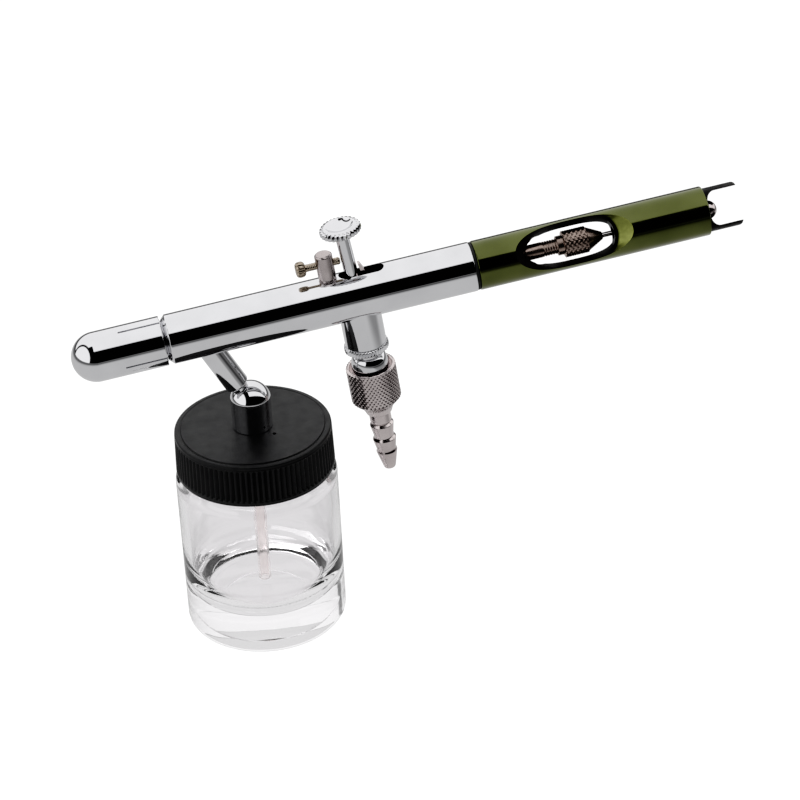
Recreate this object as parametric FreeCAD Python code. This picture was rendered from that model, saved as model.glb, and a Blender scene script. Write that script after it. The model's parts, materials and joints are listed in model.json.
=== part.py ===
import FreeCAD, Part
import math
import os

# Siphon-feed airbrush standing on its colour jar. Millimetres, +Z up.
# The origin is the centre of the jar's base. The plane Y = 0 is the gun's plane of symmetry.
#
# Three sets of axes are used:
#   jar axes     the part's own axes, +Z up the jar
#   barrel axes  X back along the barrel towards the tail, Z square to it, origin where the
#                air valve's axis crosses the barrel's axis
#   stem axes    X from the barrel's axis down the slanted siphon stem

V = FreeCAD.Vector
X_AXIS = V(1, 0, 0)
Z_AXIS = V(0, 0, 1)

# ---- driving dimensions -------------------------------------------------------------------

BARREL_R = 6.0
BARREL_TILT = 6.82          # degrees, tail up
BARREL_ORIGIN = V(27.25, 0, 86.61)
FACING_ROLL = 30.0          # degrees about the barrel: the side the window and crown face

SNUG = 0.03                 # radial gap of a screwed or pushed joint that stays put
RUNNING = 0.05              # radial gap of a joint that moves
FACE_GAP = 0.05             # gap between two faces that meet

# barrel, along X
CAP_TIP = -69.2
CAP_REAR = -47.0
CAP_WALL = 0.8
CAP_SLIT_FRONT = -57.0
CAP_SLIT_WIDTH = 0.45
BODY_FRONT = -46.9
BODY_FRONT_BEVEL = 1.3
BODY_REAR = 28.5
HEAD_SOCKET_R = 3.5
HEAD_SOCKET_FLOOR = -41.45
HEAD_SEAL_THICKNESS = 0.55
HEAD_GRIP_R = BARREL_R - CAP_WALL - RUNNING
HEAD_SHOULDER = -57.8
HEAD_NOSE = -60.4
HEAD_NOSE_R = 3.8
AIR_CHAMBER_R = 3.0
AIR_CHAMBER_FLOOR = -56.5
NOZZLE_THREAD_R = 1.5
NOZZLE_TIP = -62.7
AIR_CAP_FRONT = -63.2
CHANNEL_R = 1.2             # paint channel round the needle
PACKING_POCKET_R = 2.3
PACKING_POCKET_FLOOR = -21.0
PACKING_LENGTH = 3.0
DRIVER_SLOT = (0.8, 0.8)       # depth and width of the slots cut for a driver
REAR_BORE_R = 4.5
REAR_BORE_FRONT = -5.0

# needle and what carries it
NEEDLE_R = 0.6
NEEDLE_TIP = -64.0
NEEDLE_TAPER = 7.5
NEEDLE_REAR = 74.5
TUBE_R = 1.85
TUBE_FLANGE_FRONT = 4.5
TUBE_FLANGE_REAR = 6.6
TUBE_COLLAR = (12.0, 13.0)
TUBE_COLLAR_R = 3.1
TUBE_REAR = 55.0
CASE_FRONT = 20.0
CASE_REAR = 39.5
CASE_WALL = 1.5
CASE_BORE_R = 3.2
CASE_TAIL_R = 4.05
CHUCK_FRONT = 49.3
CHUCK_KNURL = (50.85, 56.8)
CHUCK_TIP = 60.6
CHUCK_COLLAR_R = 2.35
CHUCK_R = 3.25

# handle
HANDLE_FRONT = 29.25
HANDLE_REAR = 86.2
CROWN_R = 5.3
CROWN_NOTCH_FLOOR = 86.4
CROWN_NOTCH_WIDTH = 9.0
CROWN_NOTCH_CORNER = 2.6
CROWN_TIP = 94.5
WINDOW_CENTRE = 52.9
WINDOW_MID = (20.6, 7.8)        # length and height of the window halfway through the handle
WINDOW_FACE = (28.8, 13.8)      # the same at the handle's surface
HANDLE_SOLID_FRONT = 62.8       # the hollow ends here, at the window's rear end
HANDLE_NEEDLE_BORE_R = 1.5
TAIL_BORE_FRONT = 78.0
TAIL_SCREW_R = 2.5
TAIL_SCREW_FRONT = 79.0
TAIL_SCREW_TIP = 87.5
TAIL_RING = (82.0, 83.0)
TAIL_RING_R = 1.9

# trigger, lever and stop
SLOT_FRONT = -3.4
SLOT_REAR = 7.65
SLOT_WIDTH = 3.6
TRIGGER_PIVOT = V(0.18, 0, -2.6)
TRIGGER_LEAN = 2.84         # degrees, forward
TRIGGER_STEM_R = 1.63
TRIGGER_STEM_LENGTH = 20.2
TRIGGER_FOOT_R = 1.45
FORK_GAP = 1.4
FORK_DEPTH = 7.1
PIN_R = 0.5
BUTTON_R = 5.0
BUTTON_THICKNESS = 2.0
BUTTON_TOP = 21.82          # from the pivot, along the stem
LEVER_HEEL = V(3.6, 0, -3.3)
LEVER_HEEL_R = 0.8
LEVER_WIDTH = 3.2
LEVER_TOP = 8.3
POST_X = -6.0
POST_R = 2.25
POST_TOP = 13.3
POST_SPIGOT_R = 1.5
POST_FOOT = 3.3
STOP_HEIGHT = 10.0
STOP_SHANK_R = 0.9
STOP_HEAD_R = 1.9
STOP_HEAD = (-13.1, -10.7)
STOP_TIP = -2.3

# air valve, measured down from the barrel's axis
BOSS_R = 5.0
BOSS_END = 13.7
CASING_TOP = 6.5
CASING_THREAD_R = 4.0
CASING_RING_R = 5.4
CASING_RING_END = 16.2
CASING_NECK_R = 3.75
CASING_NECK_END = 17.6
CASING_SPIGOT_R = 4.55
CASING_END = 25.0
PLUNGER_R = 1.05
VALVE_SEAT = 12.0
VALVE_GUIDE_END = 7.7
VALVE_UPPER_R = 2.0
VALVE_LOWER_R = 3.0
O_RING_THICKNESS = 0.8
PLUNGER_DISC = (12.9, 13.9)
PLUNGER_DISC_R = 2.7
VALVE_SPRING_END = 19.5
GUIDE_SCREW_END = 22.5

# hose coupling, measured down from the barrel's axis
NUT_TOP = 20.0
NUT_R = 6.1
NUT_KNURL_END = 29.1
NUT_END = 33.3
NUT_END_R = 3.7
NUT_THREAD_R = 4.6
NUT_FLOOR = 27.65
BARB_FLANGE = (26.0, 27.6)
BARB_FLANGE_R = 4.4
BARB_STEM_R = 2.65
BARB_LAND_END = 35.9
BARB_CRESTS = ((37.0, 2.95), (41.2, 2.9), (44.9, 2.6))
BARB_ROOT_R = 2.35
BARB_RISE = 0.7
BARB_TIP = 49.8
BARB_TIP_R = 1.5
BARB_BORE_R = 1.0

# siphon stem and socket, measured along the stem axis from the barrel's axis
SIPHON_FOOT = V(-38.7, 0, 0)
ELBOW_CENTRE = V(-30.1, 0, -22.2)
SOCKET_R = 2.95
SOCKET_END = 18.0
SOCKET_SPIGOT_R = 2.0
SOCKET_SPIGOT_END = 2.3
SOCKET_BORE_R = 2.0
SOCKET_BORE_FLOOR = 8.0
NECK_START = 8.3
NECK_END = 21.5
PAINT_R = 1.1

# jar, jar axes
LID_TOP = 53.85
LID_BOTTOM = 43.34
LID_TOP_R = 19.10
LID_BOTTOM_R = 19.43
LID_CROWN = 1.8
LID_SKIRT_BORE_R = 17.75
LID_SHOULDER_ROUND = 1.2
VENT = V(4.5, -5.3, 0)
VENT_R = 0.4
ELBOW_R = 4.87
LID_STEM_R = 2.9
LID_STEM_END = 46.5
LID_NUT_FLATS = 8.0
LID_NUT_THICKNESS = 2.5
GASKET_THICKNESS = 0.8
GASKET_BORE_R = 6.0
GASKET_R = 17.3
GLASS_R = 19.83
GLASS_WALL = 2.0
GLASS_FLOOR = 8.5
GLASS_SHOULDER = 40.0
GLASS_NECK_R = 17.1
GLASS_NECK_START = 43.0
FOOT_RING = (9.9, 10.4)        # radii of the shallow ring under the jar
FOOT_RING_DEPTH = 0.3
SIPHON_TUBE_R = 1.5
SIPHON_TUBE_BORE_R = 1.0
SIPHON_TUBE_END = 10.2
SIPHON_TUBE_TOP = 51.9


# ---- shared shapes and placing ------------------------------------------------------------

def rod(start, end, radius):
    """A round bar along X."""
    return Part.makeCylinder(radius, end - start, V(start, 0, 0), X_AXIS)


def taper(start, end, start_radius, end_radius):
    """A round bar along X whose radius changes evenly."""
    return Part.makeCone(start_radius, end_radius, end - start, V(start, 0, 0), X_AXIS)


def ring(start, end, outer, inner):
    """A tube along X."""
    return rod(start, end, outer).cut(rod(start, end, inner))


def turned(outline):
    """Turns an outline of (distance along X, radius) points, closed along the axis."""
    corners = [V(along, 0, radius) for along, radius in outline]
    closed = [V(outline[0][0], 0, 0)] + corners + [V(outline[-1][0], 0, 0)]
    face = Part.Face(Part.makePolygon(closed + closed[:1]))
    return face.revolve(V(0, 0, 0), X_AXIS, 360)


def aimed(shape, foot, direction):
    """Moves a shape built along X so that it runs from foot in the given direction."""
    placed = shape.copy()
    turn = FreeCAD.Placement(foot, FreeCAD.Rotation(X_AXIS, direction))
    placed.Placement = turn.multiply(placed.Placement)
    return placed


def downwards(shape):
    """Turns a shape built along X so that it runs down from the barrel's axis."""
    return aimed(shape, V(0, 0, 0), V(0, 0, -1))


def upwards(shape):
    """Turns a shape built along X so that it runs up the jar's axis."""
    return aimed(shape, V(0, 0, 0), Z_AXIS)


def along_stem(shape):
    """Moves a shape built along X onto the siphon stem's axis, in barrel axes."""
    return aimed(shape, SIPHON_FOOT, ELBOW_CENTRE - SIPHON_FOOT)


def on_trigger(shape):
    """Moves a shape built along X onto the trigger stem, with X = 0 at the pivot."""
    lean = math.radians(TRIGGER_LEAN)
    return aimed(shape, TRIGGER_PIVOT, V(-math.sin(lean), 0, math.cos(lean)))


def rolled(shape):
    """Turns a shape about the barrel so that what faced -Y faces the window's side."""
    turned_shape = shape.copy()
    turned_shape.rotate(V(0, 0, 0), X_AXIS, -FACING_ROLL)
    return turned_shape


def from_barrel(shape):
    """Takes a shape from barrel axes to jar axes."""
    placed = shape.copy()
    tilt = FreeCAD.Rotation(V(0, 1, 0), -BARREL_TILT)
    placed.Placement = FreeCAD.Placement(BARREL_ORIGIN, tilt).multiply(placed.Placement)
    return placed


def box(low, high):
    return Part.makeBox(high.x - low.x, high.y - low.y, high.z - low.z, low)


def slab(profile, width):
    """A flat plate, width thick about Y = 0, from an outline of (x, z) points."""
    corners = [V(x, -width / 2, z) for x, z in profile]
    return Part.Face(Part.makePolygon(corners + corners[:1])).extrude(V(0, width, 0))


def driver_slot(end, radius):
    """What a driver's slot takes off a screw along X that ends at end."""
    depth, width = DRIVER_SLOT
    return box(V(end - depth, -width / 2, -radius), V(end, width / 2, radius))


def coil(start, end, mean_radius, wire_radius, turns):
    """A round-wire spring along X, lying between start and end."""
    length = end - start - 2 * wire_radius
    helix = Part.makeHelix(length / turns, length, mean_radius)
    section = Part.Wire(Part.makeCircle(wire_radius, V(mean_radius, 0, 0), V(0, 1, 0)))
    wire = Part.Wire(helix).makePipeShell([section], True, True)
    placed = wire.copy()
    start_point = V(start + wire_radius, 0, 0)
    placed.Placement = FreeCAD.Placement(start_point, FreeCAD.Rotation(Z_AXIS, X_AXIS))
    return placed


# ---- front end, barrel axes ---------------------------------------------------------------

def protective_cap():
    """Round-nosed cap, split by four slits so that it grips the head."""
    nose = CAP_TIP + BARREL_R
    inner_r = BARREL_R - CAP_WALL
    shell = rod(nose, CAP_REAR, BARREL_R).fuse(Part.makeSphere(BARREL_R, V(nose, 0, 0)))
    hollow = rod(nose, CAP_REAR, inner_r).fuse(Part.makeSphere(inner_r, V(nose, 0, 0)))
    cap = shell.cut(hollow).removeSplitter()
    half = CAP_SLIT_WIDTH / 2
    slit = box(V(CAP_SLIT_FRONT, -BARREL_R - 1, -half), V(CAP_REAR + 1, BARREL_R + 1, half))
    for angle in (45, 135):
        turned_slit = slit.copy()
        turned_slit.rotate(V(0, 0, 0), X_AXIS, angle)
        cap = cap.cut(rolled(turned_slit))
    return cap


def nozzle_head():
    """Head that the cap grips: shank into the body, paint bore, air chamber and air holes."""
    shank_r = HEAD_SOCKET_R - SNUG
    face = BODY_FRONT - FACE_GAP
    shank_end = HEAD_SOCKET_FLOOR - HEAD_SEAL_THICKNESS - FACE_GAP
    head = turned([(HEAD_NOSE, HEAD_NOSE_R), (HEAD_SHOULDER, HEAD_NOSE_R),
                   (HEAD_SHOULDER, HEAD_GRIP_R), (face, HEAD_GRIP_R),
                   (face, shank_r), (shank_end, shank_r)])
    head = head.cut(rod(HEAD_NOSE, shank_end, CHANNEL_R))
    head = head.cut(rod(HEAD_NOSE, AIR_CHAMBER_FLOOR + NOZZLE_THREAD_R * 2, NOZZLE_THREAD_R))
    head = head.cut(rod(HEAD_NOSE, AIR_CHAMBER_FLOOR, AIR_CHAMBER_R))
    air_hole_r = 0.5
    rear_offset = 4.3
    front_offset = 2.3
    start = V(face, 0, rear_offset)
    end = V(HEAD_SHOULDER, 0, front_offset)
    hole = Part.makeCylinder(air_hole_r, start.distanceToPoint(end), start, end - start)
    for quarter in range(4):
        turned_hole = hole.copy()
        turned_hole.rotate(V(0, 0, 0), X_AXIS, 45 + 90 * quarter)
        head = head.cut(turned_hole)
    return head


def fluid_nozzle():
    """Screwed nozzle: a fine taper bore that the needle's point closes."""
    thread_r = NOZZLE_THREAD_R - SNUG
    thread_end = AIR_CHAMBER_FLOOR + 2.8
    flange_r = 2.2
    flange_rear = AIR_CHAMBER_FLOOR - FACE_GAP
    flange_front = flange_rear - 1.0
    tip_r = 0.55
    nozzle = turned([(NOZZLE_TIP, tip_r), (flange_front, NOZZLE_THREAD_R), (flange_front, flange_r),
                     (flange_rear, flange_r), (flange_rear, thread_r), (thread_end, thread_r)])
    bore_r = 0.85
    taper_start = AIR_CHAMBER_FLOOR
    bore = rod(taper_start, thread_end, bore_r)
    bore = bore.fuse(taper(NOZZLE_TIP, taper_start, tip_r / 2, bore_r))
    return nozzle.cut(bore)


def air_cap():
    """Cap round the nozzle with the hole that the air leaves by."""
    rear = HEAD_SHOULDER - FACE_GAP
    outer_r = 4.3
    cone_start = -61.6
    hole_r = 0.8
    cap = turned([(AIR_CAP_FRONT, hole_r * 2), (cone_start, outer_r), (rear, outer_r)])
    cap = cap.cut(rod(HEAD_NOSE - FACE_GAP, rear, HEAD_NOSE_R + SNUG))
    cap = cap.cut(taper(AIR_CAP_FRONT, HEAD_NOSE - FACE_GAP, hole_r, AIR_CHAMBER_R))
    return cap


def head_seal():
    """Flat washer at the bottom of the body's front socket."""
    front = HEAD_SOCKET_FLOOR - HEAD_SEAL_THICKNESS
    return ring(front, HEAD_SOCKET_FLOOR - SNUG, HEAD_SOCKET_R - RUNNING, CHANNEL_R + RUNNING)


# ---- body ---------------------------------------------------------------------------------

def trigger_slot():
    """The round-ended slot in the top of the barrel."""
    half = SLOT_WIDTH / 2
    slot = box(V(SLOT_FRONT + half, -half, 0), V(SLOT_REAR - half, half, BARREL_R + 1))
    for x in (SLOT_FRONT + half, SLOT_REAR - half):
        slot = slot.fuse(Part.makeCylinder(half, BARREL_R + 1, V(x, 0, 0), Z_AXIS))
    return slot


def air_passage():
    """Drilled air way in the barrel's wall, from the valve to the front face."""
    radius = 0.45
    rear_offset = 5.15
    front_offset = 4.25
    bend = V(REAR_BORE_FRONT - 1, 0, -rear_offset)
    front = V(BODY_FRONT - 1, 0, -front_offset)
    way = rod(bend.x, -1.0, radius)
    way.translate(V(0, 0, -rear_offset))
    way = way.fuse(Part.makeCylinder(radius, bend.distanceToPoint(front), bend, front - bend))
    way.rotate(V(0, 0, 0), X_AXIS, 45)
    return way


def body_shell():
    """The barrel: trigger slot, valve boss, front socket, needle bore and rear bore."""
    rear_chamfer = 0.2
    valve_bore_top = 1.5
    front_bevel_end = BODY_FRONT + BODY_FRONT_BEVEL
    shell = turned([(BODY_FRONT, BARREL_R - BODY_FRONT_BEVEL + SNUG), (front_bevel_end, BARREL_R),
                    (BODY_REAR - rear_chamfer, BARREL_R), (BODY_REAR, BARREL_R - rear_chamfer)])
    shell = shell.fuse(downwards(rod(0, BOSS_END, BOSS_R)))
    shell = shell.cut(rod(BODY_FRONT, HEAD_SOCKET_FLOOR, HEAD_SOCKET_R))
    shell = shell.cut(rod(HEAD_SOCKET_FLOOR, PACKING_POCKET_FLOOR, CHANNEL_R))
    shell = shell.cut(rod(PACKING_POCKET_FLOOR, REAR_BORE_FRONT, PACKING_POCKET_R))
    shell = shell.cut(rod(REAR_BORE_FRONT, BODY_REAR, REAR_BORE_R))
    shell = shell.cut(downwards(rod(valve_bore_top, BOSS_END, CASING_THREAD_R + SNUG)))
    shell = shell.cut(trigger_slot())
    shell = shell.cut(air_passage())
    shell = shell.cut(along_stem(rod(0, SOCKET_SPIGOT_END, PAINT_R)))
    shell = shell.cut(along_stem(rod(SOCKET_SPIGOT_END - FACE_GAP, BARREL_R * 2, SOCKET_SPIGOT_R)))
    post_hole_floor = V(POST_X, 0, POST_FOOT - 2 * FACE_GAP)
    return shell.cut(Part.makeCylinder(POST_SPIGOT_R, BARREL_R, post_hole_floor, Z_AXIS))


def siphon_socket():
    """Slanted tube brazed under the barrel; the jar's neck pushes into its bore."""
    bevel = 0.6
    tube = rod(0, SOCKET_END - bevel, SOCKET_R)
    tube = tube.fuse(taper(SOCKET_END - bevel, SOCKET_END, SOCKET_R, SOCKET_R - bevel))
    tube_pieces = along_stem(tube).cut(rod(BODY_FRONT, 0, BARREL_R + SNUG / 2)).Solids
    below_barrel = min(tube_pieces, key=lambda piece: piece.BoundBox.ZMin)
    spigot = along_stem(rod(SOCKET_SPIGOT_END, BARREL_R * 2, SOCKET_SPIGOT_R - SNUG))
    socket = below_barrel.fuse(spigot)
    socket = socket.cut(along_stem(rod(0, SOCKET_END, PAINT_R)))
    return socket.cut(along_stem(rod(SOCKET_BORE_FLOOR, SOCKET_END, SOCKET_BORE_R)))


def stop_post():
    """Post on the barrel, cross-bored for the stop screw."""
    chamfer = 0.3
    post = Part.makeCylinder(POST_R, POST_TOP - chamfer, V(POST_X, 0, 0), Z_AXIS)
    crown = Part.makeCone(POST_R, POST_R - chamfer, chamfer, V(POST_X, 0, POST_TOP - chamfer), Z_AXIS)
    post = post.fuse(crown).cut(rod(BODY_FRONT, BODY_REAR, BARREL_R + SNUG / 2))
    spigot = Part.makeCylinder(POST_SPIGOT_R - SNUG, BARREL_R, V(POST_X, 0, POST_FOOT), Z_AXIS)
    bore = rod(POST_X - POST_R, POST_X + POST_R, STOP_SHANK_R + RUNNING)
    bore.translate(V(0, 0, STOP_HEIGHT))
    return post.fuse(spigot).cut(bore)


def stop_screw():
    """Thumb screw through the post; its point faces the trigger's stem."""
    flute_r = 0.28
    flutes = 12
    point = 0.3
    head = rod(STOP_HEAD[0], STOP_HEAD[1], STOP_HEAD_R)
    for index in range(flutes):
        flute = rod(STOP_HEAD[0], STOP_HEAD[1], flute_r)
        flute.translate(V(0, 0, STOP_HEAD_R))
        flute.rotate(V(0, 0, 0), X_AXIS, 360 / flutes * index)
        head = head.cut(flute)
    screw = head.fuse(rod(STOP_HEAD[1], STOP_TIP - point, STOP_SHANK_R))
    screw = screw.fuse(taper(STOP_TIP - point, STOP_TIP, STOP_SHANK_R, STOP_SHANK_R - point))
    screw.translate(V(0, 0, STOP_HEIGHT))
    return screw


def needle_packing():
    """Soft seal the needle slides through."""
    front = PACKING_POCKET_FLOOR + FACE_GAP
    return ring(front, front + PACKING_LENGTH, PACKING_POCKET_R - RUNNING, NEEDLE_R + SNUG)


def packing_screw():
    """Hollow screw behind the packing, slotted for a driver."""
    front = PACKING_POCKET_FLOOR + PACKING_LENGTH + 2 * FACE_GAP
    rear = front + 4.5
    bore_r = 0.8
    screw = ring(front, rear, PACKING_POCKET_R - SNUG, bore_r)
    return screw.cut(driver_slot(rear, PACKING_POCKET_R))


# ---- trigger ------------------------------------------------------------------------------

def trigger_stem():
    """Round stem, forked below so that the needle passes between its legs."""
    stem = rod(-TRIGGER_STEM_R, TRIGGER_STEM_LENGTH, TRIGGER_STEM_R)
    foot = Part.makeCylinder(TRIGGER_FOOT_R, 2 * TRIGGER_STEM_R, V(0, -TRIGGER_STEM_R, 0), V(0, 1, 0))
    above_pivot = rod(0, TRIGGER_STEM_LENGTH, TRIGGER_STEM_R)
    stem = above_pivot.fuse(stem.common(foot))
    reach = 2 * TRIGGER_STEM_R
    gap = box(V(-reach, -FORK_GAP / 2, -reach), V(FORK_DEPTH, FORK_GAP / 2, reach))
    pin_hole = Part.makeCylinder(PIN_R + SNUG, 2 * reach, V(0, -reach, 0), V(0, 1, 0))
    return on_trigger(stem.cut(gap).cut(pin_hole)).removeSplitter()


def trigger_pin():
    """Cross pin through the fork and the plunger's lug."""
    length = 2 * TRIGGER_STEM_R - 0.3
    return Part.makeCylinder(PIN_R, length, TRIGGER_PIVOT - V(0, length / 2, 0), V(0, 1, 0))


def trigger_button():
    """Finger button with a dished top, sitting on the stem's end."""
    underside = BUTTON_TOP - BUTTON_THICKNESS
    underside_r = 3.8
    edge = 0.35
    dish_r = 3.4
    dish_depth = 0.7
    button = turned([(underside, underside_r), (underside + edge, BUTTON_R),
                     (BUTTON_TOP - edge, BUTTON_R), (BUTTON_TOP, BUTTON_R - edge)])
    sphere_r = (dish_r ** 2 + dish_depth ** 2) / (2 * dish_depth)
    dish = Part.makeSphere(sphere_r, V(BUTTON_TOP - dish_depth + sphere_r, 0, 0))
    socket = rod(underside, TRIGGER_STEM_LENGTH + FACE_GAP, TRIGGER_STEM_R + SNUG)
    return on_trigger(button.cut(dish).cut(socket))


def back_lever():
    """Rocking lever behind the trigger: round heel, forked body, fin up through the slot."""
    heel_x = LEVER_HEEL.x
    heel_z = LEVER_HEEL.z
    waist_z = 3.4
    profile = [(heel_x - LEVER_HEEL_R, heel_z), (2.45, waist_z), (1.62, LEVER_TOP),
               (2.1, LEVER_TOP), (4.35, waist_z), (heel_x + LEVER_HEEL_R, heel_z)]
    lever = slab(profile, LEVER_WIDTH)
    heel_start = LEVER_HEEL - V(0, LEVER_WIDTH / 2, 0)
    lever = lever.fuse(Part.makeCylinder(LEVER_HEEL_R, LEVER_WIDTH, heel_start, V(0, 1, 0)))
    reach = 8.0
    gap_half = NEEDLE_R + 0.25
    gap_top = 3.0
    gap = box(V(0, -gap_half, -reach), V(reach, gap_half, gap_top))
    fin_half = 0.75
    fin_foot = 4.6
    for side in (-1, 1):
        inner = side * fin_half
        outer = side * LEVER_WIDTH
        low = V(0, min(inner, outer), fin_foot)
        high = V(reach, max(inner, outer), LEVER_TOP + 1)
        lever = lever.cut(box(low, high))
    return lever.cut(gap).removeSplitter()


# ---- air valve ----------------------------------------------------------------------------

def valve_casing():
    """Valve casing: thread in the boss, serrated ring, neck and the spigot for the hose nut."""
    ring_top = BOSS_END + FACE_GAP
    shank_r = CASING_THREAD_R - SNUG
    edge = 0.5
    casing = turned([(CASING_TOP, shank_r), (ring_top, shank_r), (ring_top, CASING_RING_R),
                     (CASING_RING_END, CASING_RING_R), (CASING_RING_END, CASING_NECK_R),
                     (CASING_NECK_END, CASING_NECK_R), (CASING_NECK_END, CASING_SPIGOT_R - edge),
                     (CASING_NECK_END + edge, CASING_SPIGOT_R), (CASING_END, CASING_SPIGOT_R)])
    casing = casing.cut(rod(CASING_TOP, VALVE_GUIDE_END, PLUNGER_R + RUNNING))
    casing = casing.cut(rod(VALVE_GUIDE_END, VALVE_SEAT, VALVE_UPPER_R))
    casing = casing.cut(rod(VALVE_SEAT, CASING_END, VALVE_LOWER_R))
    cross_hole_r = 0.6
    cross_hole_start = V(VALVE_GUIDE_END + 2 * cross_hole_r, 0, -BOSS_R)
    cross_hole = Part.makeCylinder(cross_hole_r, 2 * BOSS_R, cross_hole_start, Z_AXIS)
    return downwards(casing.cut(cross_hole))


def valve_plunger():
    """Plunger: lug for the trigger's pin, stem through the guide, disc that closes the seat."""
    lug_half = FORK_GAP / 2 - RUNNING
    lug_r = 0.95
    stem_top = 4.2
    lug = Part.makeCylinder(lug_r, 2 * lug_half, TRIGGER_PIVOT - V(0, lug_half, 0), V(0, 1, 0))
    web_low = V(TRIGGER_PIVOT.x - lug_r, -lug_half, -stem_top)
    web_high = V(TRIGGER_PIVOT.x + lug_r, lug_half, TRIGGER_PIVOT.z)
    lug = lug.fuse(box(web_low, web_high))
    pin_hole = Part.makeCylinder(PIN_R + SNUG, 4, TRIGGER_PIVOT - V(0, 2, 0), V(0, 1, 0))
    stem = rod(stem_top, PLUNGER_DISC[1], PLUNGER_R)
    stem = stem.fuse(rod(PLUNGER_DISC[0], PLUNGER_DISC[1], PLUNGER_DISC_R))
    return lug.fuse(downwards(stem)).cut(pin_hole)


def valve_o_ring():
    """Seal on top of the plunger's disc, held against the seat."""
    top = VALVE_SEAT + SNUG
    outer_r = PLUNGER_DISC_R - 2 * RUNNING
    return downwards(ring(top, top + O_RING_THICKNESS, outer_r, PLUNGER_R + SNUG))


def valve_spring():
    """Lifts the plunger and closes the valve."""
    mean_r = 2.0
    wire_r = 0.22
    turns = 4
    return downwards(coil(PLUNGER_DISC[1] + SNUG, VALVE_SPRING_END, mean_r, wire_r, turns))


def valve_guide_screw():
    """Hollow slotted screw under the valve spring."""
    top = VALVE_SPRING_END + SNUG
    bore_r = 1.0
    screw = ring(top, GUIDE_SCREW_END, VALVE_LOWER_R - SNUG, bore_r)
    return downwards(screw.cut(driver_slot(GUIDE_SCREW_END, VALVE_LOWER_R)))


# ---- hose coupling ------------------------------------------------------------------------

def hose_washer():
    """Seal between the casing's end and the barb's flange."""
    outer_r = 4.2
    bore_r = 1.6
    return downwards(ring(CASING_END + FACE_GAP, BARB_FLANGE[0] - FACE_GAP, outer_r, bore_r))


def hose_nut():
    """Coupling nut that pulls the barb against the casing."""
    mouth_r = NUT_R - 0.8
    mouth_depth = 1.5
    lip = 0.25
    nut = turned([(NUT_TOP, NUT_R - lip), (NUT_TOP + lip, NUT_R), (NUT_KNURL_END, NUT_R),
                  (NUT_END, NUT_END_R)])
    nut = nut.cut(rod(NUT_TOP, NUT_TOP + mouth_depth, mouth_r))
    nut = nut.cut(rod(NUT_TOP, NUT_FLOOR, NUT_THREAD_R))
    return downwards(nut.cut(rod(NUT_TOP, NUT_END, BARB_STEM_R + RUNNING)))


def hose_barb():
    """Hose stem: flange held by the nut, plain land, then barbs that a hose pushes over."""
    outline = [(BARB_FLANGE[0], BARB_FLANGE_R), (BARB_FLANGE[1], BARB_FLANGE_R),
               (BARB_FLANGE[1], BARB_STEM_R), (BARB_LAND_END, BARB_STEM_R)]
    for crest, crest_r in BARB_CRESTS:
        outline.append((crest - BARB_RISE, BARB_ROOT_R))
        outline.append((crest, crest_r))
    outline.append((BARB_TIP, BARB_TIP_R))
    return downwards(turned(outline).cut(rod(BARB_FLANGE[0], BARB_TIP, BARB_BORE_R)))


# ---- needle and rear end, barrel axes -----------------------------------------------------

def needle():
    """Long needle, ground to a point at the front."""
    point_r = 0.05
    shaft_start = NEEDLE_TIP + NEEDLE_TAPER
    point = taper(NEEDLE_TIP, shaft_start, point_r, NEEDLE_R)
    return point.fuse(rod(shaft_start, NEEDLE_REAR, NEEDLE_R))


def chuck_tube():
    """Tube round the needle: flange for the lever, spring collar, split threaded rear end."""
    flange_r = REAR_BORE_R - 0.2
    tube = rod(TUBE_FLANGE_FRONT, TUBE_FLANGE_REAR, flange_r)
    tube = tube.fuse(rod(TUBE_FLANGE_REAR, TUBE_REAR, TUBE_R))
    tube = tube.fuse(rod(TUBE_COLLAR[0], TUBE_COLLAR[1], TUBE_COLLAR_R))
    tube = tube.cut(rod(TUBE_FLANGE_FRONT, TUBE_REAR, NEEDLE_R + SNUG))
    slit_half = 0.15
    slit = box(V(CHUCK_KNURL[0], -TUBE_R, -slit_half), V(TUBE_REAR, TUBE_R, slit_half))
    return tube.cut(slit)


def chuck_nut():
    """Nut with a plain collar, a knurled grip and a conical nose; it clamps the needle."""
    base_r = 2.95
    tip_r = 0.9
    nut = turned([(CHUCK_FRONT, CHUCK_COLLAR_R), (CHUCK_KNURL[0], CHUCK_COLLAR_R),
                  (CHUCK_KNURL[0], CHUCK_R), (CHUCK_KNURL[1], CHUCK_R), (CHUCK_KNURL[1], base_r),
                  (CHUCK_TIP, tip_r)])
    nut = nut.cut(rod(CHUCK_FRONT, TUBE_REAR + FACE_GAP, TUBE_R + RUNNING))
    return nut.cut(rod(CHUCK_FRONT, CHUCK_TIP, NEEDLE_R + RUNNING))


def needle_spring():
    """Pushes the tube and needle forward."""
    mean_r = 2.6
    wire_r = 0.28
    turns = 10
    return coil(TUBE_COLLAR[1] + SNUG, CASE_REAR - CASE_WALL - SNUG, mean_r, wire_r, turns)


def spring_case():
    """Hollow case round the spring, screwed into the body; the handle screws onto its tail."""
    joint = BODY_REAR - 0.1
    case = turned([(CASE_FRONT, REAR_BORE_R - SNUG), (joint, REAR_BORE_R - SNUG),
                   (joint, CASE_TAIL_R), (CASE_REAR, CASE_TAIL_R)])
    case = case.cut(rod(CASE_FRONT, CASE_REAR - CASE_WALL, CASE_BORE_R))
    return case.cut(rod(CASE_FRONT, CASE_REAR, TUBE_R + RUNNING))


def handle_washer():
    """Ring between the body and the handle."""
    return ring(BODY_REAR + FACE_GAP, HANDLE_FRONT - FACE_GAP, BARREL_R - 0.2, CASE_TAIL_R + RUNNING)


def oval(length, height, distance):
    """An upright oval centred on the window, at a distance from the barrel's axis along Y."""
    centre = V(WINDOW_CENTRE, distance, 0)
    ellipse = Part.Ellipse(centre + V(length / 2, 0, 0), centre + V(0, 0, height / 2), centre)
    return Part.Wire(ellipse.toShape())


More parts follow.
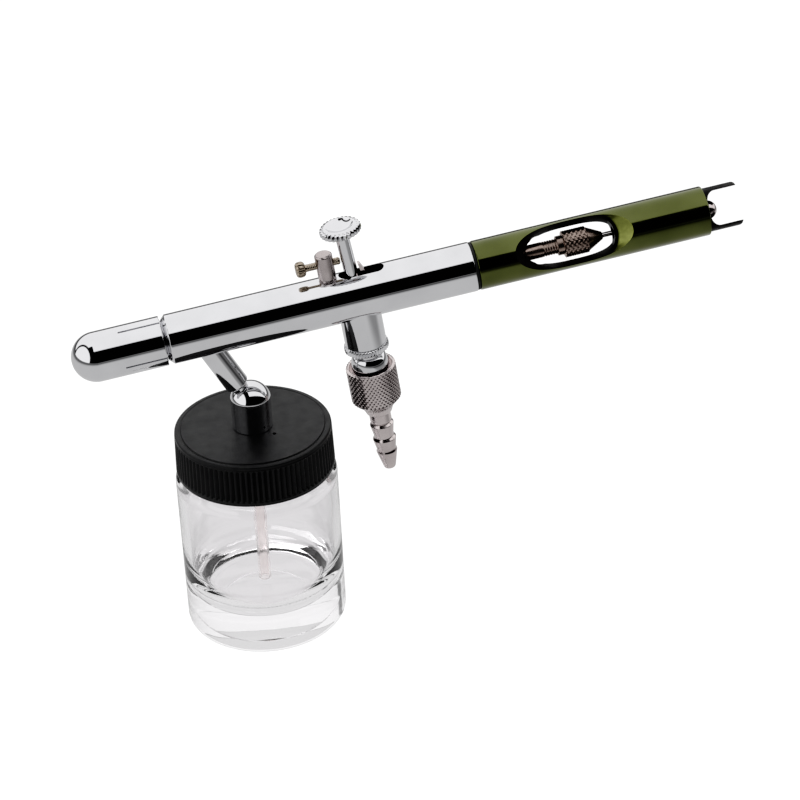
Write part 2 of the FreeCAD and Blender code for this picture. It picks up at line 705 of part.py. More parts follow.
def window():
    """Opening through the handle, narrowest in the middle and flaring to both faces."""
    reach = BARREL_R + 1
    flare = reach / BARREL_R
    length = WINDOW_MID[0] + (WINDOW_FACE[0] - WINDOW_MID[0]) * flare
    height = WINDOW_MID[1] + (WINDOW_FACE[1] - WINDOW_MID[1]) * flare
    middle = oval(WINDOW_MID[0], WINDOW_MID[1], 0)
    near = Part.makeLoft([oval(length, height, -reach), middle], True, True)
    far = Part.makeLoft([middle, oval(length, height, reach)], True, True)
    return near.fuse(far)


def crown_notch():
    """The round-cornered notch that leaves two prongs on the crown."""
    half = CROWN_NOTCH_WIDTH / 2
    corner = CROWN_NOTCH_CORNER
    floor = CROWN_NOTCH_FLOOR
    reach = BARREL_R + 1
    notch = box(V(floor + corner, -reach, -half), V(CROWN_TIP + 1, reach, half))
    notch = notch.fuse(box(V(floor, -reach, corner - half), V(floor + corner, reach, half - corner)))
    for z in (corner - half, half - corner):
        start = V(floor + corner, -reach, z)
        notch = notch.fuse(Part.makeCylinder(corner, 2 * reach, start, V(0, 1, 0)))
    return notch


def handle():
    """Handle: threaded front, window on the chuck nut, tail bore and two-pronged crown."""
    edge = 0.3
    tip_round = 0.35
    outer = turned([(HANDLE_FRONT, BARREL_R - 0.15), (HANDLE_FRONT + 0.15, BARREL_R),
                    (HANDLE_REAR - edge, BARREL_R), (HANDLE_REAR, BARREL_R - edge),
                    (HANDLE_REAR, CROWN_R), (CROWN_TIP - tip_round, CROWN_R),
                    (CROWN_TIP, CROWN_R - tip_round)])
    outer = outer.cut(rod(HANDLE_FRONT, HANDLE_SOLID_FRONT, CASE_TAIL_R + RUNNING))
    outer = outer.cut(rod(HANDLE_SOLID_FRONT, TAIL_BORE_FRONT, HANDLE_NEEDLE_BORE_R))
    outer = outer.cut(rod(TAIL_BORE_FRONT, CROWN_NOTCH_FLOOR + 1, TAIL_SCREW_R + RUNNING))
    return outer.cut(rolled(window())).cut(rolled(crown_notch()))


def tail_screw():
    """Travel-stop screw behind the needle, with a domed end between the prongs."""
    dome_start = 85.6
    dome_height = TAIL_SCREW_TIP - dome_start
    sphere_r = (TAIL_SCREW_R ** 2 + dome_height ** 2) / (2 * dome_height)
    dome = Part.makeSphere(sphere_r, V(TAIL_SCREW_TIP - sphere_r, 0, 0))
    screw = rod(TAIL_SCREW_FRONT, TAIL_SCREW_TIP, TAIL_SCREW_R)
    screw = screw.common(dome.fuse(rod(TAIL_SCREW_FRONT, dome_start, TAIL_SCREW_R)))
    return screw.cut(ring(TAIL_RING[0] - SNUG, TAIL_RING[1] + SNUG, BARREL_R, TAIL_RING_R))


def tail_o_ring():
    """Friction ring in the tail screw's groove."""
    return ring(TAIL_RING[0], TAIL_RING[1], TAIL_SCREW_R, TAIL_RING_R + SNUG)


# ---- jar ----------------------------------------------------------------------------------

def siphon_neck():
    """Pipe from the elbow that plugs into the socket under the barrel."""
    return along_stem(ring(NECK_START, NECK_END, SOCKET_BORE_R - RUNNING, PAINT_R))


def elbow_height():
    """Height of the elbow's centre above the jar's base."""
    return BARREL_ORIGIN.z + FreeCAD.Rotation(V(0, 1, 0), -BARREL_TILT).multVec(ELBOW_CENTRE).z


def siphon_elbow():
    """Domed elbow on the lid with its threaded stem through the lid."""
    centre = elbow_height()
    foot = LID_TOP + FACE_GAP
    elbow = turned([(LID_STEM_END, LID_STEM_R), (foot, LID_STEM_R), (foot, ELBOW_R), (centre, ELBOW_R)])
    dome = Part.makeSphere(ELBOW_R, V(centre, 0, 0)).cut(rod(foot - ELBOW_R, centre, 2 * ELBOW_R))
    elbow = elbow.fuse(dome).cut(rod(LID_STEM_END, centre, PAINT_R))
    tube_seat = SIPHON_TUBE_TOP + 2 * FACE_GAP
    elbow = upwards(elbow.cut(rod(LID_STEM_END, tube_seat, SIPHON_TUBE_R + SNUG)))
    elbow_end = (ELBOW_CENTRE - SIPHON_FOOT).Length
    neck_hole_r = SOCKET_BORE_R - SNUG / 2
    neck_hole = from_barrel(along_stem(rod(NECK_START, NECK_END + FACE_GAP, neck_hole_r)))
    paint_way = from_barrel(along_stem(rod(NECK_START, elbow_end, PAINT_R)))
    return elbow.cut(neck_hole).cut(paint_way).removeSplitter()


def jar_lid():
    """Screw lid with a vent hole."""
    lid = taper(LID_BOTTOM, LID_TOP, LID_BOTTOM_R, LID_TOP_R)
    top_edges = [edge for edge in lid.Edges if edge.BoundBox.XMin > LID_TOP - FACE_GAP]
    lid = lid.makeFillet(LID_SHOULDER_ROUND, top_edges)
    lid = lid.cut(rod(LID_BOTTOM, LID_TOP - LID_CROWN, LID_SKIRT_BORE_R))
    lid = upwards(lid.cut(rod(LID_BOTTOM, LID_TOP, LID_STEM_R + SNUG)))
    return lid.cut(Part.makeCylinder(VENT_R, LID_TOP, VENT, Z_AXIS))


def lid_nut():
    """Hexagon nut that clamps the lid against the elbow."""
    top = LID_TOP - LID_CROWN - FACE_GAP
    corner_r = LID_NUT_FLATS / math.sqrt(3)
    turns = [math.radians(60 * corner) for corner in range(6)]
    corners = [V(corner_r * math.cos(turn), corner_r * math.sin(turn), top - LID_NUT_THICKNESS)
               for turn in turns]
    nut = Part.Face(Part.makePolygon(corners + corners[:1])).extrude(V(0, 0, LID_NUT_THICKNESS))
    return nut.cut(upwards(rod(LID_STEM_END, LID_TOP, LID_STEM_R + SNUG)))


def jar_gasket():
    """Liner ring between the lid and the jar's mouth."""
    top = LID_TOP - LID_CROWN - FACE_GAP
    return upwards(ring(top - GASKET_THICKNESS, top, GASKET_R, GASKET_BORE_R))


def jar_outline(radius, neck_radius, floor, rounding, shoulder, neck_start, mouth):
    """Outline of a jar's outside or inside: rounded floor, straight wall, shoulder, neck."""
    steps = 8
    outline = []
    for step in range(steps + 1):
        angle = math.pi / 2 * step / steps
        outline.append((floor + rounding * (1 - math.cos(angle)),
                        radius - rounding * (1 - math.sin(angle))))
    for step in range(steps + 1):
        angle = math.pi / 2 * step / steps
        outline.append((shoulder + (neck_start - shoulder) * math.sin(angle),
                        neck_radius + (radius - neck_radius) * math.cos(angle)))
    outline.append((mouth, neck_radius))
    return outline


def glass_jar():
    """Thick-bottomed glass jar with a plain foot and a shallow ring under it."""
    mouth = LID_TOP - LID_CROWN - GASKET_THICKNESS - 2 * FACE_GAP
    outer_round = 2.0
    inner_round = 3.0
    shoulder_drop = 1.0         # the inner shoulder starts and ends a little lower
    neck_drop = 0.5
    outside = turned(jar_outline(GLASS_R, GLASS_NECK_R, 0, outer_round,
                                 GLASS_SHOULDER, GLASS_NECK_START, mouth))
    inside = turned(jar_outline(GLASS_R - GLASS_WALL, GLASS_NECK_R - GLASS_WALL, GLASS_FLOOR,
                                inner_round, GLASS_SHOULDER - shoulder_drop,
                                GLASS_NECK_START - neck_drop, mouth))
    foot_ring = ring(0, FOOT_RING_DEPTH, FOOT_RING[1], FOOT_RING[0])
    return upwards(outside.cut(inside).cut(foot_ring))


def siphon_tube():
    """Plastic pipe from the elbow's stem to just above the jar's floor."""
    return upwards(ring(SIPHON_TUBE_END, SIPHON_TUBE_TOP, SIPHON_TUBE_R, SIPHON_TUBE_BORE_R))


# ---- files --------------------------------------------------------------------------------

BARREL_PARTS = (protective_cap, nozzle_head, fluid_nozzle, air_cap, head_seal, body_shell,
                siphon_socket, stop_post, stop_screw, needle_packing, packing_screw, trigger_stem,
                trigger_pin, trigger_button, back_lever, valve_casing, valve_plunger, valve_o_ring,
                valve_spring, valve_guide_screw, hose_washer, hose_nut, hose_barb, needle,
                chuck_tube, chuck_nut, needle_spring, spring_case, handle_washer, handle,
                tail_screw, tail_o_ring, siphon_neck)
JAR_PARTS = (siphon_elbow, jar_lid, lid_nut, jar_gasket, glass_jar, siphon_tube)


def write(make, shape):
    """Writes one sub-part under the name of the function that makes it."""
    shape.exportStep(os.path.join("parts", make.__name__ + ".step"))


os.makedirs("parts", exist_ok=True)
for make in BARREL_PARTS:
    write(make, from_barrel(make()))
for make in JAR_PARTS:
    write(make, make())
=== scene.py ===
import json
import math

import bmesh
import bpy
import numpy as np
from mathutils import Matrix, Vector


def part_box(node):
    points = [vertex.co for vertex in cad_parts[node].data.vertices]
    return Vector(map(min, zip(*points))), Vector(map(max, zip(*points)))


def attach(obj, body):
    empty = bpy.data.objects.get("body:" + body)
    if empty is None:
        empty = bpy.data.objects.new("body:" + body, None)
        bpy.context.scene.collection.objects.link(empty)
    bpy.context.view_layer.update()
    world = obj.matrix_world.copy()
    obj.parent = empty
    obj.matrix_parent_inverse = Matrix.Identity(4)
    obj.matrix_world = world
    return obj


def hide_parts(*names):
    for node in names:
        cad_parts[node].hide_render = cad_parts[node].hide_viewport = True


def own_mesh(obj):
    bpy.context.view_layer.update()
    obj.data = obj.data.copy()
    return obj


# Looks for the siphon-feed airbrush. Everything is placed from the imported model's joints and
# nodes. Lengths along an axis and radii are in millimetres; Blender's own units are metres.

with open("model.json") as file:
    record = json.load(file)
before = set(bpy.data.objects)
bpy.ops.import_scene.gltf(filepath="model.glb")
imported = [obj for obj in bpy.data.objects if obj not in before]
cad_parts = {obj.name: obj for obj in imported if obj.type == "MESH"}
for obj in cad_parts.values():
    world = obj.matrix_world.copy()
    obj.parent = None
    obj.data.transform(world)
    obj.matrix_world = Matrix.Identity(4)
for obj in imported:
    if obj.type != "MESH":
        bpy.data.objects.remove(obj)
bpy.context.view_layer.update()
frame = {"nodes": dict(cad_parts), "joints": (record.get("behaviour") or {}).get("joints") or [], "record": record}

MM = 0.001
TURN = 2 * math.pi
JOINTS = {joint["name"]: joint for joint in frame["joints"]}
BODY_OF = {node: body for body, nodes in frame["record"]["behaviour"]["bodies"].items()
           for node in nodes}
SLOT_OF = {part["node"]: part["material_slot"] for part in frame["record"]["subparts"]}


# ---- axes ----

class Axis:
    """A line that pieces are turned about, with the direction that angle 0 faces."""

    def __init__(self, start, along, towards):
        self.start = np.array(start)
        self.along = np.array(along)
        self.towards = np.array(towards)
        self.third = np.cross(self.along, self.towards)

    def place(self, along, radii, turns):
        """Points at a distance along the axis and at radii from it, in metres."""
        sides = np.outer(radii * np.cos(turns), self.towards)
        sides += np.outer(radii * np.sin(turns), self.third)
        return self.start + (np.outer(along * np.ones(len(turns)), self.along) + sides) * MM

    def point(self, along, towards, third):
        """One point, in metres, from its three distances."""
        offset = along * self.along + towards * self.towards + third * self.third
        return self.start + offset * MM

    def reach(self, node):
        """How far along the axis a node starts and ends, and its largest radius, in mm."""
        vertices = frame["nodes"][node].data.vertices
        offsets = np.array([v.co for v in vertices]) - self.start
        along = offsets @ self.along / MM
        away = np.linalg.norm(offsets - np.outer(along * MM, self.along), axis=1) / MM
        return along.min(), along.max(), away.max()


def joint_axis(name):
    return Vector(JOINTS[name]["axis"]).normalized()


def joint_point(name):
    return Vector(JOINTS[name]["pos_m"])


BACK = joint_axis("handle_spin")
DOWN = joint_axis("hose_nut_spin")
UP = -DOWN
valve_point = joint_point("hose_nut_spin")
crossing = valve_point + DOWN * (joint_point("handle_spin") - valve_point).dot(DOWN)
NEAR = BACK.cross(UP)  # level, towards the side the window faces

barrel = Axis(crossing, BACK, UP)
valve = Axis(crossing, DOWN, NEAR)
stop_axis = Axis(barrel.point(0, 10.0, 0), BACK, UP)
stem_down = joint_axis("jar_swivel")
stem_start = joint_point("jar_swivel")
stem = Axis(stem_start, stem_down, NEAR)
jar = Axis((0, 0, 0), (0, 0, 1), (0, -1, 0))
elbow_height = stem_start.z / MM

TRIGGER_LEAN = math.radians(2.84)
pivot = joint_point("trigger_pull")
trigger_up = UP * math.cos(TRIGGER_LEAN) - BACK * math.sin(TRIGGER_LEAN)
trigger = Axis(pivot, trigger_up, NEAR)


def leaning(turn):
    """Direction at right angles to the barrel, turned from straight up towards the near side."""
    return UP * math.cos(turn) + NEAR * math.sin(turn)


FACING = math.radians(60)  # how far round from straight up the window faces
WINDOW_SIDE = leaning(FACING)


# ---- outlines ----

def rounded(corners, size, loop=False, steps=4):
    """Softens an outline's corners. A corner's third value is its own size."""
    points = []
    last = len(corners) - 1
    for index, corner in enumerate(corners):
        here = Vector(corner[:2])
        cut = corner[2] if len(corner) > 2 else size
        if cut == 0 or (not loop and index in (0, last)):
            points.append(tuple(here))
            continue
        before = Vector(corners[index - 1][:2]) - here
        after = Vector(corners[(index + 1) % len(corners)][:2]) - here
        share = min(cut, 0.48 * before.length, 0.48 * after.length)
        start = here + before.normalized() * share
        end = here + after.normalized() * share
        for step in range(steps + 1):
            t = step / steps
            point = start * (1 - t) ** 2 + here * 2 * t * (1 - t) + end * t ** 2
            points.append(tuple(point))
    return points


def arc(middle, sizes, from_angle, to_angle, steps=24):
    """Part of an oval, from its middle and its half sizes. Angle 0 points along the axis."""
    points = []
    for angle in np.radians(np.linspace(from_angle, to_angle, steps + 1)):
        across = middle[1] + sizes[1] * math.sin(angle)
        across = 0 if abs(across) < 1e-6 else across
        points.append((middle[0] + sizes[0] * math.cos(angle), across))
    return points


def dome(centre, radius, from_angle, to_angle, steps=24):
    """Part of a circle about a point on the axis."""
    return arc((centre, 0), (radius, radius), from_angle, to_angle, steps)


def ridge(phase):
    """0 in a groove, 1 halfway to the next groove."""
    return 1 - np.abs(2 * (phase % 1) - 1)


def knurled(start, end, start_radius, end_radius, depth, around, rows, flat=0.85):
    """Diamond knurl: two sets of crossing grooves. Needs 4 segments for each diamond."""
    outline = []
    steps = 4 * rows
    for step in range(steps + 1):
        share = step / steps

        def radius(turns, share=share):
            left = ridge(around * turns / TURN + share * rows)
            right = ridge(around * turns / TURN - share * rows)
            height = np.minimum(np.minimum(left, right), flat) / flat
            return start_radius + (end_radius - start_radius) * share - depth * (1 - height)

        outline.append((start + (end - start) * share, radius))
    return outline


def threaded(start, end, radius, depth, pitch):
    """Fine screw thread that runs out at both ends."""
    outline = []
    steps = round(8 * (end - start) / pitch)
    for step in range(steps + 1):
        along = start + (end - start) * step / steps
        fade = min(1, (along - start) / pitch, (end - along) / pitch)

        def cut(turns, along=along, fade=fade):
            return radius - depth * fade * (1 - ridge(along / pitch - turns / TURN))

        outline.append((along, cut))
    return outline


def toothed(stations, depth, teeth):
    """Straight serration through stations of (along, radius)."""
    outline = []
    for along, radius in stations:

        def cut(turns, radius=radius):
            return radius - depth * (1 - ridge(teeth * turns / TURN))

        outline.append((along, cut))
    return outline


# ---- meshes ----

def new_object(name, points, faces):
    mesh = bpy.data.meshes.new(name)
    mesh.from_pydata([tuple(p) for p in points], [], faces)
    mesh.validate()
    made = bpy.data.objects.new(name, mesh)
    bpy.context.scene.collection.objects.link(made)
    return made


def turned(name, axis, outline, segments=128, loop=False):
    """Turns an outline of (along, radius) about an axis. A radius may depend on the angle."""
    turns = np.arange(segments) * TURN / segments
    points = []
    rings = []
    for along, radius in outline:
        radii = radius(turns) if callable(radius) else radius * np.ones(segments)
        if radii.max() < 1e-6:
            rings.append([len(points)] * segments)
            points.append(axis.point(along, 0, 0))
        else:
            rings.append(list(range(len(points), len(points) + segments)))
            points.extend(axis.place(along, radii, turns))
    pairs = list(zip(rings, rings[1:]))
    if loop:
        pairs.append((rings[-1], rings[0]))
    faces = []
    for near, far in pairs:
        for i in range(segments):
            j = (i + 1) % segments
            corners = [near[i], far[i], far[j], near[j]]
            faces.append(list(dict.fromkeys(corners)))
    made = new_object(name, points, faces)
    face_outwards(made)
    return made


def face_outwards(made):
    """Makes a closed mesh's faces point outwards, judged by the sign of its volume."""
    mesh = made.data
    mesh.calc_loop_triangles()
    places = np.array([v.co for v in mesh.vertices])
    corners = np.array([t.vertices[:] for t in mesh.loop_triangles])
    a, b, c = (places[corners[:, k]] for k in range(3))
    if np.einsum("ij,ij->i", a, np.cross(b, c)).sum() < 0:
        mesh.flip_normals()


def skin(layers, count):
    """Faces of a closed solid made of layers + 1 rings of count points."""
    faces = [list(range(count)), list(range((layers + 1) * count - 1, layers * count - 1, -1))]
    for low in range(0, layers * count, count):
        for i in range(count):
            j = (i + 1) % count
            faces.append([low + i, low + count + i, low + count + j, low + j])
    return faces


def prism(name, axis, profile, near, far):
    """A plate from an outline of (along, towards) points, between two distances across."""
    points = [axis.point(x, z, near) for x, z in profile]
    points += [axis.point(x, z, far) for x, z in profile]
    made = new_object(name, points, skin(1, len(profile)))
    face_outwards(made)
    return made


def combine(target, others, operation="DIFFERENCE"):
    """Cuts or joins other solids, which are used up."""
    for other in others:
        step = target.modifiers.new("combine", "BOOLEAN")
        step.operation = operation
        step.object = other
        step.solver = "EXACT"
        step.use_hole_tolerant = True
        bpy.context.view_layer.update()
        graph = bpy.context.evaluated_depsgraph_get()
        mesh = bpy.data.meshes.new_from_object(target.evaluated_get(graph))
        target.modifiers.clear()
        target.data = mesh
        bpy.data.objects.remove(other)
        weld(mesh)


def weld(mesh):
    """Joins points that a cut left lying on each other."""
    work = bmesh.new()
    work.from_mesh(mesh)
    bmesh.ops.remove_doubles(work, verts=work.verts, dist=0.0005 * MM)
    bmesh.ops.dissolve_degenerate(work, edges=work.edges, dist=0.0005 * MM)
    work.to_mesh(mesh)
    work.free()


def smooth(made, sharp=35):
    made.data.shade_smooth()
    made.data.set_sharp_from_angle(angle=math.radians(sharp))
    weigh = made.modifiers.new("weigh", "WEIGHTED_NORMAL")
    weigh.keep_sharp = True


def true_round(made, axis, radii, sharp=30):
    """Exact normals on the faces that lie on round walls, so that reflections run straight."""
    mesh = made.data
    mesh.shade_smooth()
    mesh.set_sharp_from_angle(angle=math.radians(sharp))
    offsets = np.array([v.co for v in mesh.vertices]) - axis.start
    outward = offsets - np.outer(offsets @ axis.along, axis.along)
    away = np.linalg.norm(outward, axis=1)
    normals = [corner.vector.copy() for corner in mesh.corner_normals]
    for face in mesh.polygons:
        normal = np.array(face.normal)
        if abs(normal @ axis.along) > 0.05:
            continue
        vertices = list(face.vertices)
        spread = away[vertices] / MM
        if not any(np.all(np.abs(spread - radius) < 0.012) for radius in radii):
            continue
        for loop, vertex in zip(face.loop_indices, vertices):
            exact = outward[vertex] / away[vertex]
            sign = 1 if exact @ normal > 0 else -1
            normals[loop] = Vector(exact * sign)
    mesh.normals_split_custom_set(normals)


# ---- materials ----

NOISE_RANGE = (0.3, 0.7)  # where nearly all of a soft noise's values lie


class Nodes:
    """A tree of shader nodes under construction. A value may be another node's output."""

    def __init__(self, owner):
        owner.use_nodes = True
        self.tree = owner.node_tree
        self.tree.nodes.clear()

    def add(self, kind, **values):
        node = self.tree.nodes.new(kind)
        for key, value in values.items():
            if key in node.inputs:
                node.inputs[key].default_value = value
            else:
                setattr(node, key, value)
        return node

    def feed(self, node, *values):
        """Gives a node's inputs their values, in order, and returns its first output."""
        for entry, value in enumerate(values):
            self.feed_one(node, entry, value)
        return node.outputs[0]

    def feed_one(self, node, entry, value):
        if isinstance(value, bpy.types.NodeSocket):
            self.tree.links.new(value, node.inputs[entry])
        else:
            node.inputs[entry].default_value = value

    def maths(self, operation, *values):
        return self.feed(self.add("ShaderNodeMath", operation=operation), *values)

    def vector(self, operation, *values):
        node = self.add("ShaderNodeVectorMath", operation=operation)
        self.feed(node, *values)
        return node.outputs["Value" if operation in ("DOT_PRODUCT", "LENGTH") else "Vector"]

    def parts(self, place):
        """The x, y and z of a place."""
        node = self.add("ShaderNodeSeparateXYZ")
        self.feed(node, place)
        return node.outputs

    def mix(self, share, first, second):
        """One shader where the share is 0, another where it is 1."""
        return self.feed(self.add("ShaderNodeMixShader"), share, first, second)

    def remap(self, value, low, high, to_low=0.0, to_high=1.0, kind="SMOOTHSTEP"):
        """Maps the range from low to high of a value to another range."""
        node = self.add("ShaderNodeMapRange", interpolation_type=kind)
        return self.feed(node, value, low, high, to_low, to_high)


class Finish(Nodes):
    """A material under construction. Texture places are metres in the part's frame."""

    def __init__(self, name):
        self.material = bpy.data.materials.new(name)
        super().__init__(self.material)
        self.output = self.add("ShaderNodeOutputMaterial")
        self.surface = self.add("ShaderNodeBsdfPrincipled")
        self.show(self.surface.outputs["BSDF"])
        self.place = self.add("ShaderNodeTexCoord").outputs["Object"]

    def show(self, shader):
        self.feed_one(self.output, "Surface", shader)

    def glow(self, strength):
        node = self.add("ShaderNodeEmission")
        self.feed_one(node, "Strength", strength)
        return node.outputs[0]

    def set(self, **values):
        for key, value in values.items():
            self.feed_one(self.surface, key.replace("_", " "), value)

    def noise(self, size, detail=3.0):
        """Soft noise whose features are about size millimetres."""
        node = self.add("ShaderNodeTexNoise", Scale=1 / (size * MM), Detail=detail)
        self.feed_one(node, "Vector", self.place)
        return node.outputs[0]

    def rings(self, direction, size):
        """Noise that changes only along a direction, like the marks of a lathe tool."""
        node = self.add("ShaderNodeTexNoise", noise_dimensions="1D", Scale=1 / (size * MM))
        self.feed_one(node, "W", self.vector("DOT_PRODUCT", self.place, direction))
        return node.outputs[0]

    def roughen(self, noise, low, high):
        """Drives the surface's roughness from a noise's full range."""
        self.set(Roughness=self.remap(noise, *NOISE_RANGE, low, high, "LINEAR"))

    def tint(self, noise, low, high):
        """Drives the surface's colour from a noise's full range."""
        ramp = self.add("ShaderNodeValToRGB")
        for end, position, colour in zip(ramp.color_ramp.elements, NOISE_RANGE, (low, high)):
            end.position = position
            end.color = (*colour, 1)
        self.set(Base_Color=self.feed(ramp, noise))

    def bumps(self, *sources):
        """Stacks noises as bumps: each source is (noise, height in mm)."""
        for noise, height in sources:
            bump = self.add("ShaderNodeBump", Strength=1.0, Distance=height * MM)
            self.feed_one(bump, "Height", noise)
            if self.surface.inputs["Normal"].links:
                self.feed_one(bump, "Normal", self.surface.inputs["Normal"].links[0].from_socket)
            self.set(Normal=bump.outputs[0])


def metal(name, dark, light, roughness, spread, tool_marks, direction=BACK, grain=0.0):
    """Metal with uneven gloss, lathe marks tool_marks mm high and grain mm of texture."""
    finish = Finish(name)
    finish.set(Metallic=1.0)
    finish.tint(finish.noise(6.0, 4.0), dark, light)
    finish.roughen(finish.noise(1.2, 5.0), roughness - spread, roughness + spread)
    layers = [(finish.rings(direction, 0.12), tool_marks)]
    if grain:
        layers.append((finish.noise(0.15, 2.0), grain))
    finish.bumps(*layers)
    return finish.material


def chrome():
    """Mirror plating with faint handling haze."""
    finish = Finish("chrome")
    finish.set(Metallic=1.0)
    finish.tint(finish.noise(9.0), (0.70, 0.70, 0.715), (0.76, 0.76, 0.775))
    finish.roughen(finish.noise(3.0, 6.0), 0.025, 0.075)
    finish.bumps((finish.noise(5.0, 1.0), 0.0008))
    return finish.material


def green_anodised():
    """Polished aluminium under a clear olive film."""
    finish = Finish("green_anodised")
    finish.set(Metallic=1.0, Coat_Weight=0.42, Coat_Roughness=0.04)
    finish.tint(finish.noise(8.0, 4.0), (0.098, 0.110, 0.039), (0.128, 0.142, 0.054))
    finish.roughen(finish.noise(2.0, 5.0), 0.09, 0.17)
    finish.bumps((finish.rings(BACK, 0.10), 0.0010))
    return finish.material


def black_plastic():
    """Moulded lid plastic: satin, with the fine texture of the mould."""
    finish = Finish("black_plastic")
    finish.set(Specular_IOR_Level=0.42)
    finish.tint(finish.noise(2.5, 4.0), (0.007, 0.007, 0.008), (0.012, 0.012, 0.012))
    finish.roughen(finish.noise(3.0, 5.0), 0.34, 0.46)
    finish.bumps((finish.noise(0.25), 0.010), (finish.noise(4.0, 2.0), 0.02))
    return finish.material


def see_through_shadow(finish, tint):
    """Lets light through to whatever a clear piece shades."""
    in_shadow = finish.add("ShaderNodeLightPath").outputs["Is Shadow Ray"]
    clear = finish.add("ShaderNodeBsdfTransparent", Color=tint).outputs[0]
    finish.show(finish.mix(in_shadow, finish.surface.outputs["BSDF"], clear))


def clear_glass():
    """Pressed glass with slightly wavy walls."""
    finish = Finish("clear_glass")
    finish.set(Transmission_Weight=1.0, IOR=1.5, Base_Color=(0.985, 0.975, 0.985, 1))
    finish.roughen(finish.noise(7.0), 0.0, 0.012)
    finish.bumps((finish.noise(9.0, 1.5), 0.05))
    see_through_shadow(finish, (0.93, 0.94, 0.94, 1))
    return finish.material


def clear_plastic():
    """Milky drinking-straw plastic."""
    finish = Finish("clear_plastic")
    finish.set(Transmission_Weight=0.97, IOR=1.33)
    finish.tint(finish.noise(2.0), (0.95, 0.91, 0.90), (0.99, 0.96, 0.955))
    finish.roughen(finish.noise(1.0), 0.05, 0.14)
    finish.bumps((finish.noise(1.5, 2.0), 0.01))
    see_through_shadow(finish, (0.93, 0.91, 0.90, 1))
    return finish.material


def soft(name, dark, light, low, high, texture, depth):
    """Matte seal or liner with a fine surface."""
    finish = Finish(name)
    finish.tint(finish.noise(1.5, 4.0), dark, light)
    finish.roughen(finish.noise(0.8, 4.0), low, high)
    finish.bumps((finish.noise(texture), depth))
    return finish.material


MATERIALS = {
    "chrome": chrome(),
    "nickel": metal("nickel", (0.55, 0.495, 0.49), (0.68, 0.62, 0.615), 0.15, 0.05, 0.003,
                    grain=0.002),
    "tinted_brass": metal("tinted_brass", (0.36, 0.30, 0.235), (0.55, 0.48, 0.40), 0.2, 0.08,
                          0.004, grain=0.003),
    "brass": metal("brass", (0.60, 0.43, 0.18), (0.76, 0.58, 0.29), 0.22, 0.06, 0.004),
    "needle_steel": metal("needle_steel", (0.55, 0.54, 0.54), (0.68, 0.67, 0.67), 0.16, 0.05,
                          0.002),
    "spring_steel": metal("spring_steel", (0.38, 0.38, 0.39), (0.50, 0.50, 0.52), 0.3, 0.06,
                          0.003),
    "green_anodised": green_anodised(),
    "black_plastic": black_plastic(),
    "clear_glass": clear_glass(),
    "clear_plastic": clear_plastic(),
    "liner": soft("liner", (0.72, 0.71, 0.68), (0.82, 0.81, 0.78), 0.7, 0.9, 0.3, 0.03),
    "ptfe": soft("ptfe", (0.80, 0.80, 0.79), (0.88, 0.88, 0.87), 0.4, 0.55, 0.5, 0.01),
    "black_rubber": soft("black_rubber", (0.012, 0.012, 0.012), (0.025, 0.025, 0.025),
                         0.5, 0.7, 0.4, 0.01),
}


SATIN_NICKEL = metal("satin_nickel", (0.44, 0.395, 0.39), (0.58, 0.525, 0.52), 0.27, 0.06,
                     0.003, DOWN, grain=0.003)
AGED_NICKEL = metal("aged_nickel", (0.27, 0.215, 0.19), (0.46, 0.375, 0.335), 0.27, 0.06, 0.003,
                    grain=0.002)
# Nearly black metal: painted shade for bores, slot walls and the handle's crown.
PAINTED_SHADE_METAL = metal("painted_shade_black", (0.010, 0.010, 0.010), (0.025, 0.024, 0.023), 0.42, 0.08, 0.006)
OWN_FINISH = {"stop_post": SATIN_NICKEL, "chuck_nut": AGED_NICKEL, "chuck_tube": AGED_NICKEL}


def stand_for(made, node):
    """Gives a new piece its node's finish and body, and hides the node."""
    made.data.materials.clear()
    made.data.materials.append(OWN_FINISH.get(node, MATERIALS[SLOT_OF[node]]))
    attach(made, BODY_OF[node])
    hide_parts(node)
    return made


def refinish(made, axis, material, radii, ends):
    """Gives another material to the faces between two radii and two distances along an axis. The script uses it to
    lay painted shade and painted light.
    """
    if material.name not in made.data.materials:
        made.data.materials.append(material)
    slot = made.data.materials.find(material.name)
    for face in made.data.polygons:
        offset = np.array(face.center) - axis.start
        along = offset @ axis.along
        away = np.linalg.norm(offset - along * axis.along)
        within = radii[0] * MM < away < radii[1] * MM
        if within and ends[0] * MM < along < ends[1] * MM:
            face.material_index = slot


def lathe_piece(node, axis, outline, segments=128, loop=False, sharp=35):
    """Turns a piece that stands for one node."""
    made = turned(node + "_piece", axis, outline, segments, loop)
    smooth(made, sharp)
    return stand_for(made, node)


def sleeve(node, axis, bore, size, segments):
    """A plain tube or ring, as long and as wide as its node, with softened edges."""
    start, end, radius = axis.reach(node)
    corners = [(start, radius), (end, radius), (end, bore), (start, bore)]
    lathe_piece(node, axis, rounded(corners, size, loop=True), segments, loop=True)


# ---- front end ----

CAP_WALL = 0.8
CAP_SLIT_FRONT = -57.0
CAP_SLIT_HALF = 0.22
BODY_BEVEL = 1.3
REAR_BORE_R = 4.5
REAR_BORE_FRONT = -5.0
BOSS_END = 13.3


def protective_cap():
    tip, rear, radius = barrel.reach("protective_cap")
    inner = radius - CAP_WALL
    nose = tip + radius
    outline = dome(nose, radius, 180, 90, 40)
    outline += rounded([(nose, radius), (rear, radius), (rear, inner), (nose, inner)], 0.18)
    outline += dome(nose, inner, 90, 180)
    cap = turned("protective_cap_piece", barrel, outline, 256)
    slits = []
    for turn in (FACING + math.radians(45), FACING - math.radians(45)):
        across = Axis(crossing, BACK, leaning(turn))
        profile = [(CAP_SLIT_FRONT, radius + 1), (rear + 1, radius + 1),
                   (rear + 1, -radius - 1), (CAP_SLIT_FRONT, -radius - 1)]
        slits.append(prism("slit", across, profile, -CAP_SLIT_HALF, CAP_SLIT_HALF))
    combine(cap, slits)
    true_round(cap, barrel, (radius, inner))
    stand_for(cap, "protective_cap")


